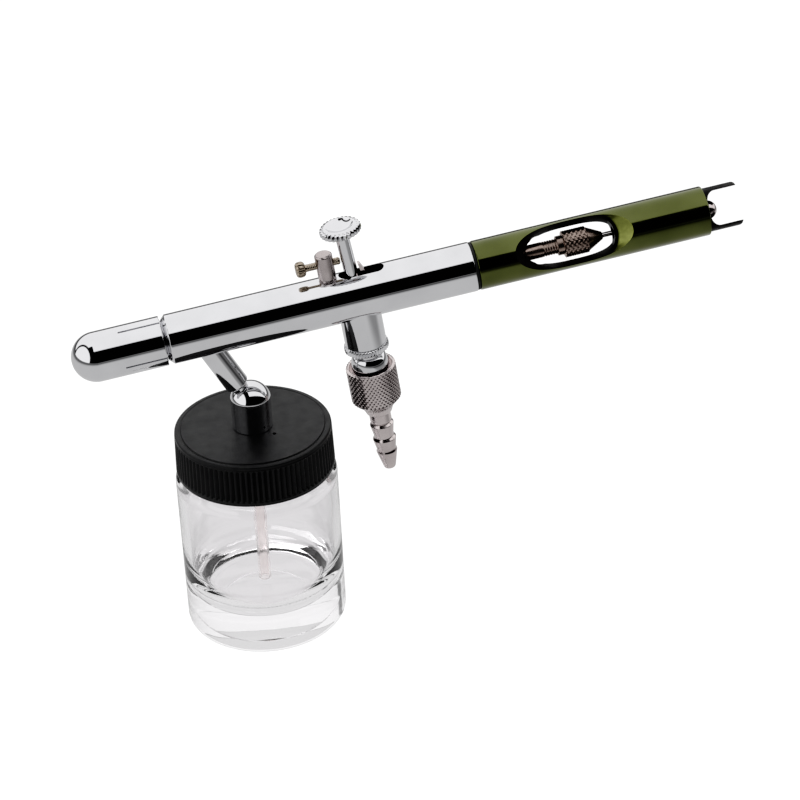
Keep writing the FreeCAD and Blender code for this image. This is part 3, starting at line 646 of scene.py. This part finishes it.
def body_shell():
    front, rear, _ = barrel.reach("body_shell")
    radius = barrel.reach("protective_cap")[2]
    boss_r = 5.0
    head_bore_r = 3.5
    head_bore_end = -41.45
    paint_bore_r = 1.2
    packing_end = -21.0
    trigger_bore_r = 2.3
    valve_bore_r = 4.03
    shell = turned("body_shell_piece", barrel, rounded(
        [(front, 0), (front, radius - BODY_BEVEL), (front + BODY_BEVEL, radius, 0.1),
         (rear, radius), (rear, 0)], 0.22), 256)
    boss = turned("boss", valve, rounded([(0, 0), (0, boss_r), (BOSS_END, boss_r), (BOSS_END, 0)],
                                         0.2), 192)
    combine(shell, [boss], "UNION")
    bores = [
        turned("front_bore", barrel, [
            (front - 1, 0), (front - 1, head_bore_r), (head_bore_end, head_bore_r),
            (head_bore_end, paint_bore_r), (packing_end, paint_bore_r), (packing_end, 0)], 64),
        turned("rear_bore", barrel, [
            (packing_end, 0), (packing_end, trigger_bore_r), (REAR_BORE_FRONT, trigger_bore_r),
            (REAR_BORE_FRONT, REAR_BORE_R), (rear + 1, REAR_BORE_R), (rear + 1, 0)], 96),
        turned("valve_bore", valve, [(1.5, 0), (1.5, valve_bore_r), (BOSS_END + 1, valve_bore_r),
                                     (BOSS_END + 1, 0)], 96),
    ]
    combine(shell, bores)
    combine(shell, [trigger_slot(radius)])
    true_round(shell, barrel, (radius, REAR_BORE_R))
    stand_for(shell, "body_shell")
    # Painted shade: the bores and the slot walls are painted nearly black.
    refinish(shell, barrel, PAINTED_SHADE_METAL, (0, radius - 0.1), (-25, rear - 0.1))


def trigger_slot(radius):
    """Cutter for the round-ended slot."""
    front = -3.4
    rear = 7.65
    half = 1.8
    profile = dome(front + half, half, 90, 270) + dome(rear - half, half, -90, 90)
    side_on = Axis(crossing, BACK, NEAR)
    return prism("slot", side_on, profile, -radius - 2, 0)


def siphon_socket():
    """Tube brazed under the barrel; its bevelled mouth takes the neck."""
    end = stem.reach("siphon_socket")[1]
    bore = 2.0
    radius = 2.95
    hidden = end - 13.2
    outline = rounded([(hidden, radius), (end - 0.6, radius), (end, radius - 0.6), (end, bore),
                       (hidden, bore)], 0.1, loop=True)
    lathe_piece("siphon_socket", stem, outline, 160, loop=True)


def siphon_neck():
    sleeve("siphon_neck", stem, 1.1, 0.08, 96)


# ---- trigger, lever and stop ----

def stop_post():
    chamfer = 0.4
    hidden = 5.2
    place = Axis(barrel.point(-6.0, 0, 0), UP, NEAR)
    top = place.reach("stop_post")[1] - 0.55
    radius = 2.12
    post = turned("stop_post_piece", place, rounded(
        [(hidden, 0), (hidden, radius - 0.35), (hidden + 1.05, radius - 0.35),
         (hidden + 1.15, radius), (top - chamfer, radius), (top, radius - chamfer), (top, 0)],
        0.12), 128)
    combine(post, [turned("cross_bore", stop_axis, [(-9, 0), (-9, 0.95), (-3, 0.95), (-3, 0)],
                          64)])
    smooth(post)
    stand_for(post, "stop_post")


def stop_screw():
    """Thumb screw with a fluted head and a fine thread."""
    start, end, radius = stop_axis.reach("stop_screw")
    shank = 0.9
    flutes = 12
    head_end = -10.7

    def fluted(along, size):
        def edge(turns):
            return size - 0.22 * np.maximum(0, np.cos(flutes * turns)) ** 3
        return along, edge

    outline = [(start, 0), (start, 0.9)]
    for inward, inset in ((0.12, 0.5), (0.4, 0.15), (0.8, 0)):
        outline.append(fluted(start + inward, radius - inset))
    for inward, inset in ((0.8, 0), (0.4, 0.15), (0.12, 0.5)):
        outline.append(fluted(head_end - inward, radius - inset))
    outline += [(head_end, 1.0), (head_end, shank)]
    outline += threaded(head_end + 0.1, end - 0.4, shank, 0.09, 0.4)
    outline += [(end - 0.3, shank - 0.02), (end, shank - 0.3), (end, 0)]
    lathe_piece("stop_screw", stop_axis, outline, 144, sharp=40)


def trigger_stem():
    end = trigger.reach("trigger_stem")[1]
    radius = 1.63
    foot = 1.45
    outline = dome(0, foot, 180, 100, 12)
    outline += rounded([(0.1, radius), (end, radius), (end, 0)], 0.1)
    post = turned("trigger_stem_piece", trigger, outline, 128)
    gap = prism("fork_gap", trigger, [(-3, 0.7), (7.1, 0.7), (7.1, -0.7), (-3, -0.7)], -3, 3)
    combine(post, [gap])
    true_round(post, trigger, (radius,))
    stand_for(post, "trigger_stem")


def trigger_button():
    """Dished finger button with a coarse serrated edge."""
    low, high, radius = trigger.reach("trigger_button")
    teeth = 28
    depth = 0.42
    dish_r = 3.3
    dish_depth = 1.3
    sphere = (dish_r ** 2 + dish_depth ** 2) / (2 * dish_depth)
    outline = [(low, 0), (low, radius - 1.2), (low + 0.06, radius - 1.0),
               *toothed([(low + 0.12, radius - 0.35)], 0.8 * depth, teeth),
               *toothed([(low + 0.4, radius), (high - 0.85, radius), (high - 0.5, radius - 0.16)],
                        depth, teeth),
               *toothed([(high - 0.2, radius - 0.55)], 0.8 * depth, teeth),
               (high - 0.04, radius - 1.15), (high, radius - 1.3), (high, dish_r + 0.1)]
    for step in range(13):
        r = dish_r * (1 - step / 12)
        outline.append((high - dish_depth + sphere - math.sqrt(sphere ** 2 - r ** 2), r))
    lathe_piece("trigger_button", trigger, outline, teeth * 8, sharp=40)


# ---- valve and hose coupling ----

def valve_casing():
    """Serrated ring, narrow neck and the rounded spigot that the hose nut screws onto."""
    ring_top = BOSS_END + 0.05
    ring_r = 5.4
    ring_end = 15.3
    neck_r = 3.3
    neck_end = 16.6
    end = valve.reach("valve_casing")[1]
    spigot_r = 4.55
    shoulder = 3.4
    teeth = 44
    depth = 0.42
    outline = [(ring_top, 3.9), (ring_top, ring_r - 0.75)]
    outline += toothed([(ring_top + 0.3, ring_r - 0.08), (ring_top + 0.42, ring_r),
                        (ring_end - 0.42, ring_r), (ring_end - 0.3, ring_r - 0.08)], depth, teeth)
    outline.append((ring_end, ring_r - 0.75))
    outline += rounded([(ring_end, neck_r + 0.4), (ring_end, neck_r), (neck_end, neck_r)],
                       0.15)[:-1]
    outline += arc((neck_end + shoulder, neck_r), (shoulder, spigot_r - neck_r), 180, 90, 14)
    outline += rounded([(neck_end + shoulder + 0.1, spigot_r), (end, spigot_r), (end, 3.0),
                        (12.0, 3.0), (12.0, 3.9), (ring_top, 3.9)], 0.15)[:-1]
    lathe_piece("valve_casing", valve, outline, teeth * 8, loop=True, sharp=40)


def hose_nut():
    """Diamond-knurled nut with an open mouth and a smooth conical end."""
    top, end, radius = valve.reach("hose_nut")
    mouth = 5.3
    thread = 4.6
    floor = 27.65
    stem_hole = 2.72
    knurl_end = 29.1
    cone_knurl_end = 31.4
    cone_r = 3.95
    end_r = 3.15
    depth = 0.22
    around = 38
    outline = [(top + 1.5, mouth), (top + 0.1, mouth), (top, mouth + 0.12), (top, radius - 0.45),
               (top + 0.12, radius - 0.3)]
    outline += knurled(top + 0.2, knurl_end, radius, radius, depth, around, 7, 0.62)
    outline += knurled(knurl_end + 0.1, cone_knurl_end, radius - 0.12, cone_r, depth, around, 2,
                       0.62)[1:]
    outline += rounded([(cone_knurl_end + 0.1, cone_r - 0.12), (end, end_r, 0.25), (end, stem_hole),
                        (floor, stem_hole), (floor, thread), (top + 1.5, thread),
                        (top + 1.5, mouth)], 0.1)[:-1]
    lathe_piece("hose_nut", valve, outline, around * 4, loop=True, sharp=25)


def hose_barb():
    """Three barbs whose sharp shoulders face the nut, each tapering towards the tip."""
    tip = valve.reach("hose_barb")[1]
    bore = 1.0
    flange = 4.4
    flange_ends = (26.0, 27.6)
    land = 2.65
    root = 2.35
    corners = [(flange_ends[0], bore), (flange_ends[0], flange), (flange_ends[1], flange),
               (flange_ends[1], land), (35.9, land, 0.3)]
    for crest, crest_r in ((37.0, 2.95), (41.2, 2.9), (44.9, 2.6)):
        corners.append((crest - 0.7, root, 0.2))
        corners.append((crest - 0.08, crest_r, 0.12))
    corners += [(tip - 0.35, 1.52, 0.2), (tip, 1.35), (tip, bore)]
    lathe_piece("hose_barb", valve, rounded(corners, 0.12, loop=True), 128, loop=True, sharp=50)


# ---- needle, chuck and handle ----

def needle():
    tip, end, radius = barrel.reach("needle")
    outline = [(tip, 0), (tip + 0.02, 0.05)]
    outline += rounded([(tip + 0.05, 0.05), (tip + 7.5, radius, 1.0), (end, radius), (end, 0)],
                       0.15)
    lathe_piece("needle", barrel, outline, 48)


def chuck_tube():
    """Tube round the needle: flange, spring collar, plain part, thread and chamfered end."""
    start, end, flange = barrel.reach("chuck_tube")
    radius = 1.85
    bore = 0.63
    collar = 3.1
    thread_start = 45.4
    outline = rounded([(start, bore), (start, flange), (start + 2.1, flange), (start + 2.1, radius),
                       (12.0, radius), (12.0, collar), (13.0, collar), (13.0, radius),
                       (thread_start - 0.1, radius)], 0.1)
    outline += threaded(thread_start, end - 0.3, radius, 0.16, 0.62)
    outline += [(end - 0.1, radius - 0.1), (end, radius - 0.3), (end, bore)]
    lathe_piece("chuck_tube", barrel, outline, 96, loop=True, sharp=50)


def chuck_nut():
    """Plain collar, diamond-knurled grip and a polished cone."""
    start, end, radius = barrel.reach("chuck_nut")
    collar = 2.35
    bore = 1.9
    knurl_start = 50.85
    knurl_end = 56.8
    around = 20
    outline = rounded([(start, bore), (start, collar, 0.15), (knurl_start, collar, 0.1),
                       (knurl_start, radius - 0.4)], 0.1)
    outline += knurled(knurl_start + 0.15, knurl_end - 0.15, radius, radius, 0.2, around, 5)
    outline += rounded([(knurl_end, radius - 0.35), (knurl_end, 2.9, 0.08), (end, 0.9, 0.12),
                        (end, 0.65), (55.0, 0.65), (55.0, bore), (start, bore)], 0.08)[:-1]
    lathe_piece("chuck_nut", barrel, outline, around * 8, loop=True, sharp=25)


def handle_washer():
    sleeve("handle_washer", barrel, 4.1, 0.15, 128)


WINDOW_CENTRE = 52.9
WINDOW_MID = (10.4, 3.95)  # half length and half height in the middle of the handle
WINDOW_FACE = (14.4, 6.9)  # the same at the handle's surface
WINDOW_STRAIGHT = 2.2  # how far from the middle its ends start to flare
# The window's tail-end walls are painted dark inside this circle and painted lit outside it.
SHADE_CENTRE = 58.7  # the dark part of its tail end is a circle about here
SHADE_R = 5.3
CROWN_R = 5.3
NOTCH_FLOOR = 86.4


def window_cutter(radius):
    """Opening that flares from the middle of the handle to both faces."""
    across = BACK.cross(WINDOW_SIDE)
    count = 128
    outside = 1.35 * radius
    distances = (-outside, -WINDOW_STRAIGHT, 0, WINDOW_STRAIGHT, outside)
    points = []
    for distance in distances:
        flare = abs(distance) / radius
        end_flare = max(0, abs(distance) - WINDOW_STRAIGHT) / (radius - WINDOW_STRAIGHT)
        length = WINDOW_MID[0] + (WINDOW_FACE[0] - WINDOW_MID[0]) * end_flare
        height = WINDOW_MID[1] + (WINDOW_FACE[1] - WINDOW_MID[1]) * flare
        blunt = 2 / (2.9 - 0.6 * min(1, end_flare))
        for step in range(count):
            cosine = math.cos(TURN * step / count)
            sine = math.sin(TURN * step / count)
            place = BACK * (WINDOW_CENTRE + length * math.copysign(abs(cosine) ** blunt, cosine))
            place = place + across * (height * math.copysign(abs(sine) ** blunt, sine))
            place = place + WINDOW_SIDE * distance
            points.append(crossing + place * MM)
    made = new_object("window", points, skin(len(distances) - 1, count))
    face_outwards(made)
    return made


def window_wall_painted_light():
    """The handle's film on the window's rougher walls, with painted light at the tail end and painted shade in the
    bore.
    """
    finish = Finish("window_wall_painted_light")
    finish.set(Metallic=1.0)
    middle = Vector(crossing) + BACK * (SHADE_CENTRE * MM)
    offset = finish.vector("SUBTRACT", finish.place, middle)
    depth = finish.vector("PROJECT", offset, WINDOW_SIDE)
    distance = finish.vector("LENGTH", finish.vector("SUBTRACT", offset, depth))
    # Painted light and shade: outside the circle the wall is painted lit, inside it painted dark; the noise below
    # adds uneven tone.
    painted_light_share = finish.remap(distance, (SHADE_R - 0.4) * MM, (SHADE_R + 0.5) * MM, 0.0, 0.5)
    uneven = finish.maths("MULTIPLY_ADD", finish.noise(0.8), 0.16, painted_light_share)
    finish.tint(uneven, (0.004, 0.004, 0.003), (0.44, 0.48, 0.17))
    finish.roughen(finish.noise(0.6, 4.0), 0.34, 0.46)
    finish.bumps((finish.rings(BACK, 0.10), 0.002))
    return finish.material


def crown_notch_cutter(tip, radius):
    """Round-cornered notch between the two prongs."""
    half = 4.25
    corner = 2.6
    sizes = (corner, corner)
    profile = [(tip + 1, half)]
    profile += arc((NOTCH_FLOOR + corner, half - corner), sizes, 90, 180, 12)
    profile += arc((NOTCH_FLOOR + corner, corner - half), sizes, 180, 270, 12)
    profile.append((tip + 1, -half))
    side_on = Axis(crossing, BACK, BACK.cross(WINDOW_SIDE))
    return prism("notch", side_on, profile, -radius - 2, radius + 2)


def handle():
    front, tip, radius = barrel.reach("handle")
    rear = 86.2
    case_bore = 4.1
    case_end = 41.0
    nut_bore = 3.4
    nut_end = 50.0
    needle_bore = 1.5
    screw_bore = 2.55
    screw_start = 78.0
    floor = NOTCH_FLOOR + 1
    outer = rounded([(front, 0), (front, radius - 0.02), (rear, radius, 0.35),
                     (rear, CROWN_R, 0.12), (tip, CROWN_R, 0.9), (tip, 0)], 0.3)
    shell = turned("handle_piece", barrel, outer, 256)
    bores = turned("handle_bore", barrel, [
        (front - 1, 0), (front - 1, case_bore), (case_end, case_bore), (case_end, nut_bore),
        (nut_end, nut_bore), (nut_end, needle_bore), (screw_start, needle_bore),
        (screw_start, screw_bore), (floor, screw_bore), (floor, 0)], 128)
    combine(shell, [bores])
    combine(shell, [window_cutter(radius)])
    combine(shell, [crown_notch_cutter(tip, radius)])
    true_round(shell, barrel, (radius, CROWN_R), 25)
    stand_for(shell, "handle")
    inside = radius - 0.08
    window_end = WINDOW_CENTRE + WINDOW_FACE[0] + 1
    # Painted shade: the crown's prongs and the handle's bore are painted nearly black.
    refinish(shell, barrel, PAINTED_SHADE_METAL, (0, 1.2 * radius), (rear + 0.1, tip + 1))
    refinish(shell, barrel, PAINTED_SHADE_METAL, (0, inside), (front + 1, WINDOW_CENTRE + WINDOW_MID[0] + 2))
    # The window's tail-end walls get the painted light and shade of their own material.
    refinish(shell, barrel, window_wall_painted_light(), (2.0, inside), (SHADE_CENTRE, window_end))


def tail_screw():
    """Screw whose ball end shows between the prongs."""
    start, _, radius = barrel.reach("tail_screw")
    ball_r = 2.3
    ball = 86.8
    groove_r = 1.9  # for the O-ring
    groove_ends = (81.9, 83.1)
    outline = [(start, 0)] + rounded([
        (start, radius - 0.3), (start + 0.3, radius), (groove_ends[0], radius),
        (groove_ends[0], groove_r), (groove_ends[1], groove_r), (groove_ends[1], radius),
        (NOTCH_FLOOR - 0.1, radius), (ball, ball_r)], 0.08)
    outline += dome(ball, ball_r, 88, 0)
    lathe_piece("tail_screw", barrel, outline, 128)


# ---- jar ----

def siphon_elbow():
    """Domed elbow: one chromed piece with its threaded stem and the hole for the neck."""
    radius = 4.87
    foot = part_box("jar_lid")[1].z / MM + LID_RAISE + 0.05
    stem_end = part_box("siphon_elbow")[0].z / MM
    rim = elbow_height + 1.6
    centre = rim - 1.25
    sphere = math.hypot(radius, rim - centre)
    rim_angle = math.degrees(math.acos((rim - centre) / sphere))
    outline = [(stem_end, 0), (stem_end, 2.6)]
    outline += threaded(stem_end + 0.2, foot - 0.05, 2.9, 0.18, 0.8)
    outline += rounded([(foot, 2.8), (foot, radius, 0.15), (rim - 0.1, radius, 0)], 0.1)
    outline += dome(centre, sphere, rim_angle - 1, 0, 32)
    elbow = turned("siphon_elbow_piece", jar, outline, 192)
    paint_r = 1.1
    neck_r = 1.99
    tube_r = 1.53
    tube_stop = 52.0
    cuts = [
        turned("neck_hole", stem, [(-13.6, 0), (-13.6, neck_r), (-2.21, neck_r), (-2.16, paint_r),
                                   (0, paint_r), (0, 0)], 96),
        turned("tube_hole", jar, [(stem_end - 1, 0), (stem_end - 1, tube_r), (tube_stop, tube_r),
                                  (tube_stop, paint_r), (elbow_height, paint_r),
                                  (elbow_height, 0)], 96),
    ]
    combine(elbow, cuts)
    smooth(elbow, 30)
    stand_for(elbow, "siphon_elbow")


LID_RIBS = 90
LID_RAISE = 0.55  # the lid's face and the elbow stand this much prouder


def jar_lid():
    """Ribbed screw lid: flat top with a fine step, rounded shoulder, smooth bands, vent."""
    low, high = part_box("jar_lid")
    bottom = low.z / MM
    top = high.z / MM + LID_RAISE
    top_r = 19.10
    bottom_r = 19.43
    inner_r = 17.75
    crown = 1.8
    rib_top = top - 1.25
    rib_bottom = bottom + 0.95
    depth = 0.5

    def skirt(height):
        return bottom_r + (top_r - bottom_r) * (height - bottom) / (top - bottom)

    def ribbed(height, share):
        def radius(turns):
            groove = (0.5 + 0.5 * np.cos(LID_RIBS * turns)) ** 1.3
            return skirt(height) + 0.02 - depth * share * groove
        return height, radius

    outline = [(top, 2.93), (top, 17.45), (top - 0.22, 17.6)]
    outline += rounded([(top - 0.22, 17.85), (top - 0.12, 18.0), (top - 0.2, top_r, 0.8),
                        (rib_top + 0.1, top_r)], 0.1, steps=8)
    outline += [ribbed(rib_top - 0.55 * step / 4, step / 4) for step in range(5)]
    outline += [ribbed(rib_bottom + 0.55 * (4 - step) / 4, (4 - step) / 4) for step in range(5)]
    outline += rounded([(rib_bottom - 0.05, skirt(rib_bottom)), (bottom, bottom_r, 0.35),
                        (bottom, inner_r, 0.2), (top - crown, inner_r, 0.4), (top - crown, 2.93),
                        (top, 2.93)], 0.1)[:-1]
    lid = turned("jar_lid_piece", jar, outline, LID_RIBS * 8, loop=True)
    vent_place = Axis((4.5 * MM, -5.3 * MM, 0), (0, 0, 1), (0, -1, 0))
    combine(lid, [turned("vent", vent_place, [(top - 3, 0), (top - 3, 0.4), (top - 0.15, 0.4),
                                              (top + 0.1, 0.55), (top + 0.1, 0)], 32)])
    smooth(lid, 40)
    stand_for(lid, "jar_lid")


def glass_jar():
    """Clear jar with a thick base, a shallow ring under it and a plain neck."""
    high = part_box("glass_jar")[1]
    radius = high.x / MM
    mouth = high.z / MM
    wall = 2.0
    floor = 8.5
    neck = 17.1
    neck_start = 43.0
    shoulder = 40.0
    corner_rise = 12.0  # the inside corner is a quarter of a tall oval
    corner_run = 6.2
    outline = [(0.5, 0), (0.45, 5.0)]
    outline += rounded([(0.3, 9.9, 0.1), (0.0, 10.6, 0.3), (0, radius, 2.1),
                        (shoulder + 1.6, radius, 2.4), (neck_start, neck + 0.6, 0.8),
                        (mouth, neck, 0.6), (mouth, neck - wall, 0.6),
                        (neck_start - 1, neck - wall, 1.2), (shoulder, radius - wall, 1.5),
                        (floor + corner_rise, radius - wall, 0.0)], 0.3, steps=14)[1:-1]
    outline += arc((floor + corner_rise, radius - wall - corner_run), (corner_rise, corner_run),
                   90, 180)
    outline += [(floor - 0.1, 1.0), (floor - 0.1, 0)]
    lathe_piece("glass_jar", jar, outline, 256, sharp=60)


def siphon_tube():
    sleeve("siphon_tube", jar, 1.0, 0.12, 64)


def coil_spring(node, axis, mean_r, wire_r, turns):
    """Coil with closed ends."""
    start, end, _ = axis.reach(node)
    steps = 40 * turns
    sides = 10
    points = []
    for step in range(steps + 1):
        share = step / steps
        eased = share - 0.6 * math.sin(TURN * share) / TURN
        middle = start + wire_r + (end - start - 2 * wire_r) * eased
        section = TURN * np.arange(sides) / sides
        radii = mean_r + wire_r * np.cos(section)
        turned_by = np.full(sides, TURN * turns * share)
        points += list(axis.place(middle + wire_r * np.sin(section), radii, turned_by))
    made = new_object(node + "_piece", points, skin(steps, sides))
    face_outwards(made)
    smooth(made, 60)
    stand_for(made, node)
    tuple(axis.point(end, 0, 0))
    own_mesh(made)


def valve_spring():
    coil_spring("valve_spring", valve, 2.0, 0.22, 4)


def needle_spring():
    coil_spring("needle_spring", barrel, 2.6, 0.28, 10)


PIECES = (valve_spring, needle_spring, protective_cap, body_shell, siphon_socket, siphon_neck,
          stop_post, stop_screw, trigger_stem, trigger_button, valve_casing, hose_nut, hose_barb,
          needle, chuck_tube, chuck_nut, handle_washer, handle, tail_screw, siphon_elbow, jar_lid,
          glass_jar, siphon_tube)

for make in PIECES:
    make()


def finish_cad_nodes():
    """The CAD nodes that stay get their finish."""
    for node, shown in frame["nodes"].items():
        if shown.hide_render:
            continue
        for slot in shown.material_slots:
            slot.material = MATERIALS[SLOT_OF[node]]


finish_cad_nodes()


# ---- stage, light and camera ----

FLOOR_HALF = 1.5
FLOOR_HEIGHT = -0.034  # under the jar even when it hangs at the ends of its joints


def floor():
    """Plain white floor for the camera; in metal and glass it glows with painted light, brighter near the middle,
    with a painted dark patch out of the picture, at the front right.
    """
    signs = ((-1, -1), (1, -1), (1, 1), (-1, 1))
    corners = [(a * FLOOR_HALF, b * FLOOR_HALF, 0) for a, b in signs]
    ground = new_object("floor", corners, [[0, 1, 2, 3]])
    ground.location.z = FLOOR_HEIGHT
    finish = Finish("floor")
    finish.tree.nodes.remove(finish.surface)
    # Places are in metres; the other numbers are strengths.
    x, y, _ = finish.parts(finish.place)
    # Painted reflection: seen in metal the floor glows, brighter near the middle and darker over the painted dark
    # patch; seen through glass it glows brighter in a band across the middle.
    near = finish.remap(finish.vector("LENGTH", finish.place), 0.9, 0.35)
    painted_dark_patch = finish.maths("MULTIPLY", finish.remap(x, 0.10, 0.24), finish.remap(y, 0.06, -0.06))
    off_painted_patch = finish.maths("SUBTRACT", 1.0, finish.maths("MULTIPLY", painted_dark_patch, 0.5))
    painted_glow_in_metal = finish.remap(near, 0.0, 1.0, 0.16, 0.60, "LINEAR")
    painted_glow_in_metal = finish.glow(finish.maths("MULTIPLY", painted_glow_in_metal, off_painted_patch))
    clear = finish.maths("MULTIPLY", finish.remap(x, -0.20, -0.08), finish.remap(x, 0.16, 0.05))
    in_glass = finish.glow(finish.remap(clear, 0.0, 1.0, 0.28, 0.75, "LINEAR"))
    faint = finish.add("ShaderNodeBsdfDiffuse", Color=(0.20, 0.20, 0.20, 1)).outputs[0]
    seen = finish.feed(finish.add("ShaderNodeAddShader"), faint, finish.glow(0.88))
    path = finish.add("ShaderNodeLightPath").outputs
    indirect = finish.mix(path["Is Transmission Ray"], painted_glow_in_metal, in_glass)
    finish.show(finish.mix(path["Is Camera Ray"], indirect, seen))
    ground.data.materials.append(finish.material)


def studio():
    """Soft studio: a wide light overhead, a light at the left and a dark room in front."""
    world = bpy.data.worlds.new("studio")
    bpy.context.scene.world = world
    sky = Nodes(world)

    def blend(share, first, second):
        return sky.maths("ADD", sky.maths("MULTIPLY", sky.maths("SUBTRACT", 1.0, share), first),
                         sky.maths("MULTIPLY", share, second))

    def step(value, low, high):
        """0 below low degrees, 1 above high degrees."""
        return sky.remap(value, math.radians(low), math.radians(high))

    # Each part of the room is 1 where it is seen and 0 elsewhere, with a soft edge.
    direction = sky.add("ShaderNodeTexCoord").outputs["Generated"]
    x, y, z = sky.parts(direction)
    lift = sky.maths("ARCTAN2", z, sky.maths("MULTIPLY", y, -1.0))
    left_edge = sky.remap(sky.maths("MULTIPLY", x, -1.0), 0.15, 0.24)
    roof_edge = sky.maths("MULTIPLY_ADD", left_edge, math.radians(28), math.radians(50))
    roof = step(sky.maths("SUBTRACT", lift, roof_edge), 0.0, 5.0)
    lean_left = sky.vector("DOT_PRODUCT", direction, (-0.957, -0.22, 0.185))
    gap = sky.remap(lean_left, 0.64, 0.68)
    left_light = sky.remap(lean_left, 0.735, 0.765)
    behind = step(lift, 169, 174)
    raised = step(lift, -2, 1)

    # Strength of the light from each part, the later ones in front.
    light = blend(roof, 0.004, 1.06)
    light = blend(behind, light, 0.06)
    light = blend(gap, light, 0.02)
    light = blend(left_light, light, 1.08)
    light = blend(raised, 0.16, light)
    path = sky.add("ShaderNodeLightPath").outputs
    in_glass = sky.maths("MULTIPLY", path["Is Transmission Ray"], 0.25)
    light = blend(in_glass, light, 0.62)

    background = sky.add("ShaderNodeBackground", Color=(1, 1, 1, 1))
    sky.feed_one(background, "Strength", light)
    white = sky.add("ShaderNodeBackground", Color=(1, 1, 1, 1))
    output = sky.add("ShaderNodeOutputWorld")
    shown = sky.mix(path["Is Camera Ray"], background.outputs[0], white.outputs[0])
    sky.feed_one(output, "Surface", shown)


def key_light():
    """Large soft lamp above the front left, left out of reflections."""
    place = Vector((-0.35, -0.45, 0.9))
    aim = Vector((0, 0, 0.05))
    lamp = bpy.data.lights.new("key", "AREA")
    lamp.size = 0.6
    lamp.energy = 4.0
    holder = bpy.data.objects.new("key", lamp)
    holder.location = place
    holder.rotation_mode = "QUATERNION"
    holder.rotation_quaternion = (aim - place).to_track_quat("-Z", "Y")
    holder.visible_glossy = False
    bpy.context.scene.collection.objects.link(holder)


CAMERA_PLACE = Vector((-0.058731, -0.563801, 0.404372))
CAMERA_AZIMUTH = math.radians(-9.583)
CAMERA_ELEVATION = math.radians(31.379)
CAMERA_ROLL = math.radians(-2.855)
CAMERA_LENS = 123.54
CAMERA_SENSOR = 36.0


def camera():
    """Camera at the height and angle the object is usually shown from."""
    data = bpy.data.cameras.new("camera")
    data.lens = CAMERA_LENS
    data.sensor_width = CAMERA_SENSOR
    data.clip_start = 0.01
    data.clip_end = 20
    eye = bpy.data.objects.new("camera", data)
    bpy.context.scene.collection.objects.link(eye)
    level = math.cos(CAMERA_ELEVATION)
    look = Vector((-math.sin(CAMERA_AZIMUTH) * level, math.cos(CAMERA_AZIMUTH) * level,
                   -math.sin(CAMERA_ELEVATION)))
    right = look.cross(Vector((0, 0, 1))).normalized()
    upright = right.cross(look)
    right_rolled = right * math.cos(CAMERA_ROLL) + upright * math.sin(CAMERA_ROLL)
    up_rolled = upright * math.cos(CAMERA_ROLL) - right * math.sin(CAMERA_ROLL)
    turn = Matrix((right_rolled, up_rolled, -look)).transposed()
    eye.matrix_world = Matrix.Translation(CAMERA_PLACE) @ turn.to_4x4()
    bpy.context.scene.camera = eye


floor()
studio()
key_light()
camera()


def print_contrast():
    """Deepens the dark tones a little, as in a studio print."""
    view = bpy.context.scene.view_settings
    view.view_transform = "Standard"
    view.use_curve_mapping = True
    curve = view.curve_mapping.curves[3]
    for tone, shown in ((0.03, 0.008), (0.10, 0.075), (0.22, 0.215)):
        curve.points.new(tone, shown)
    view.curve_mapping.update()


print_contrast()
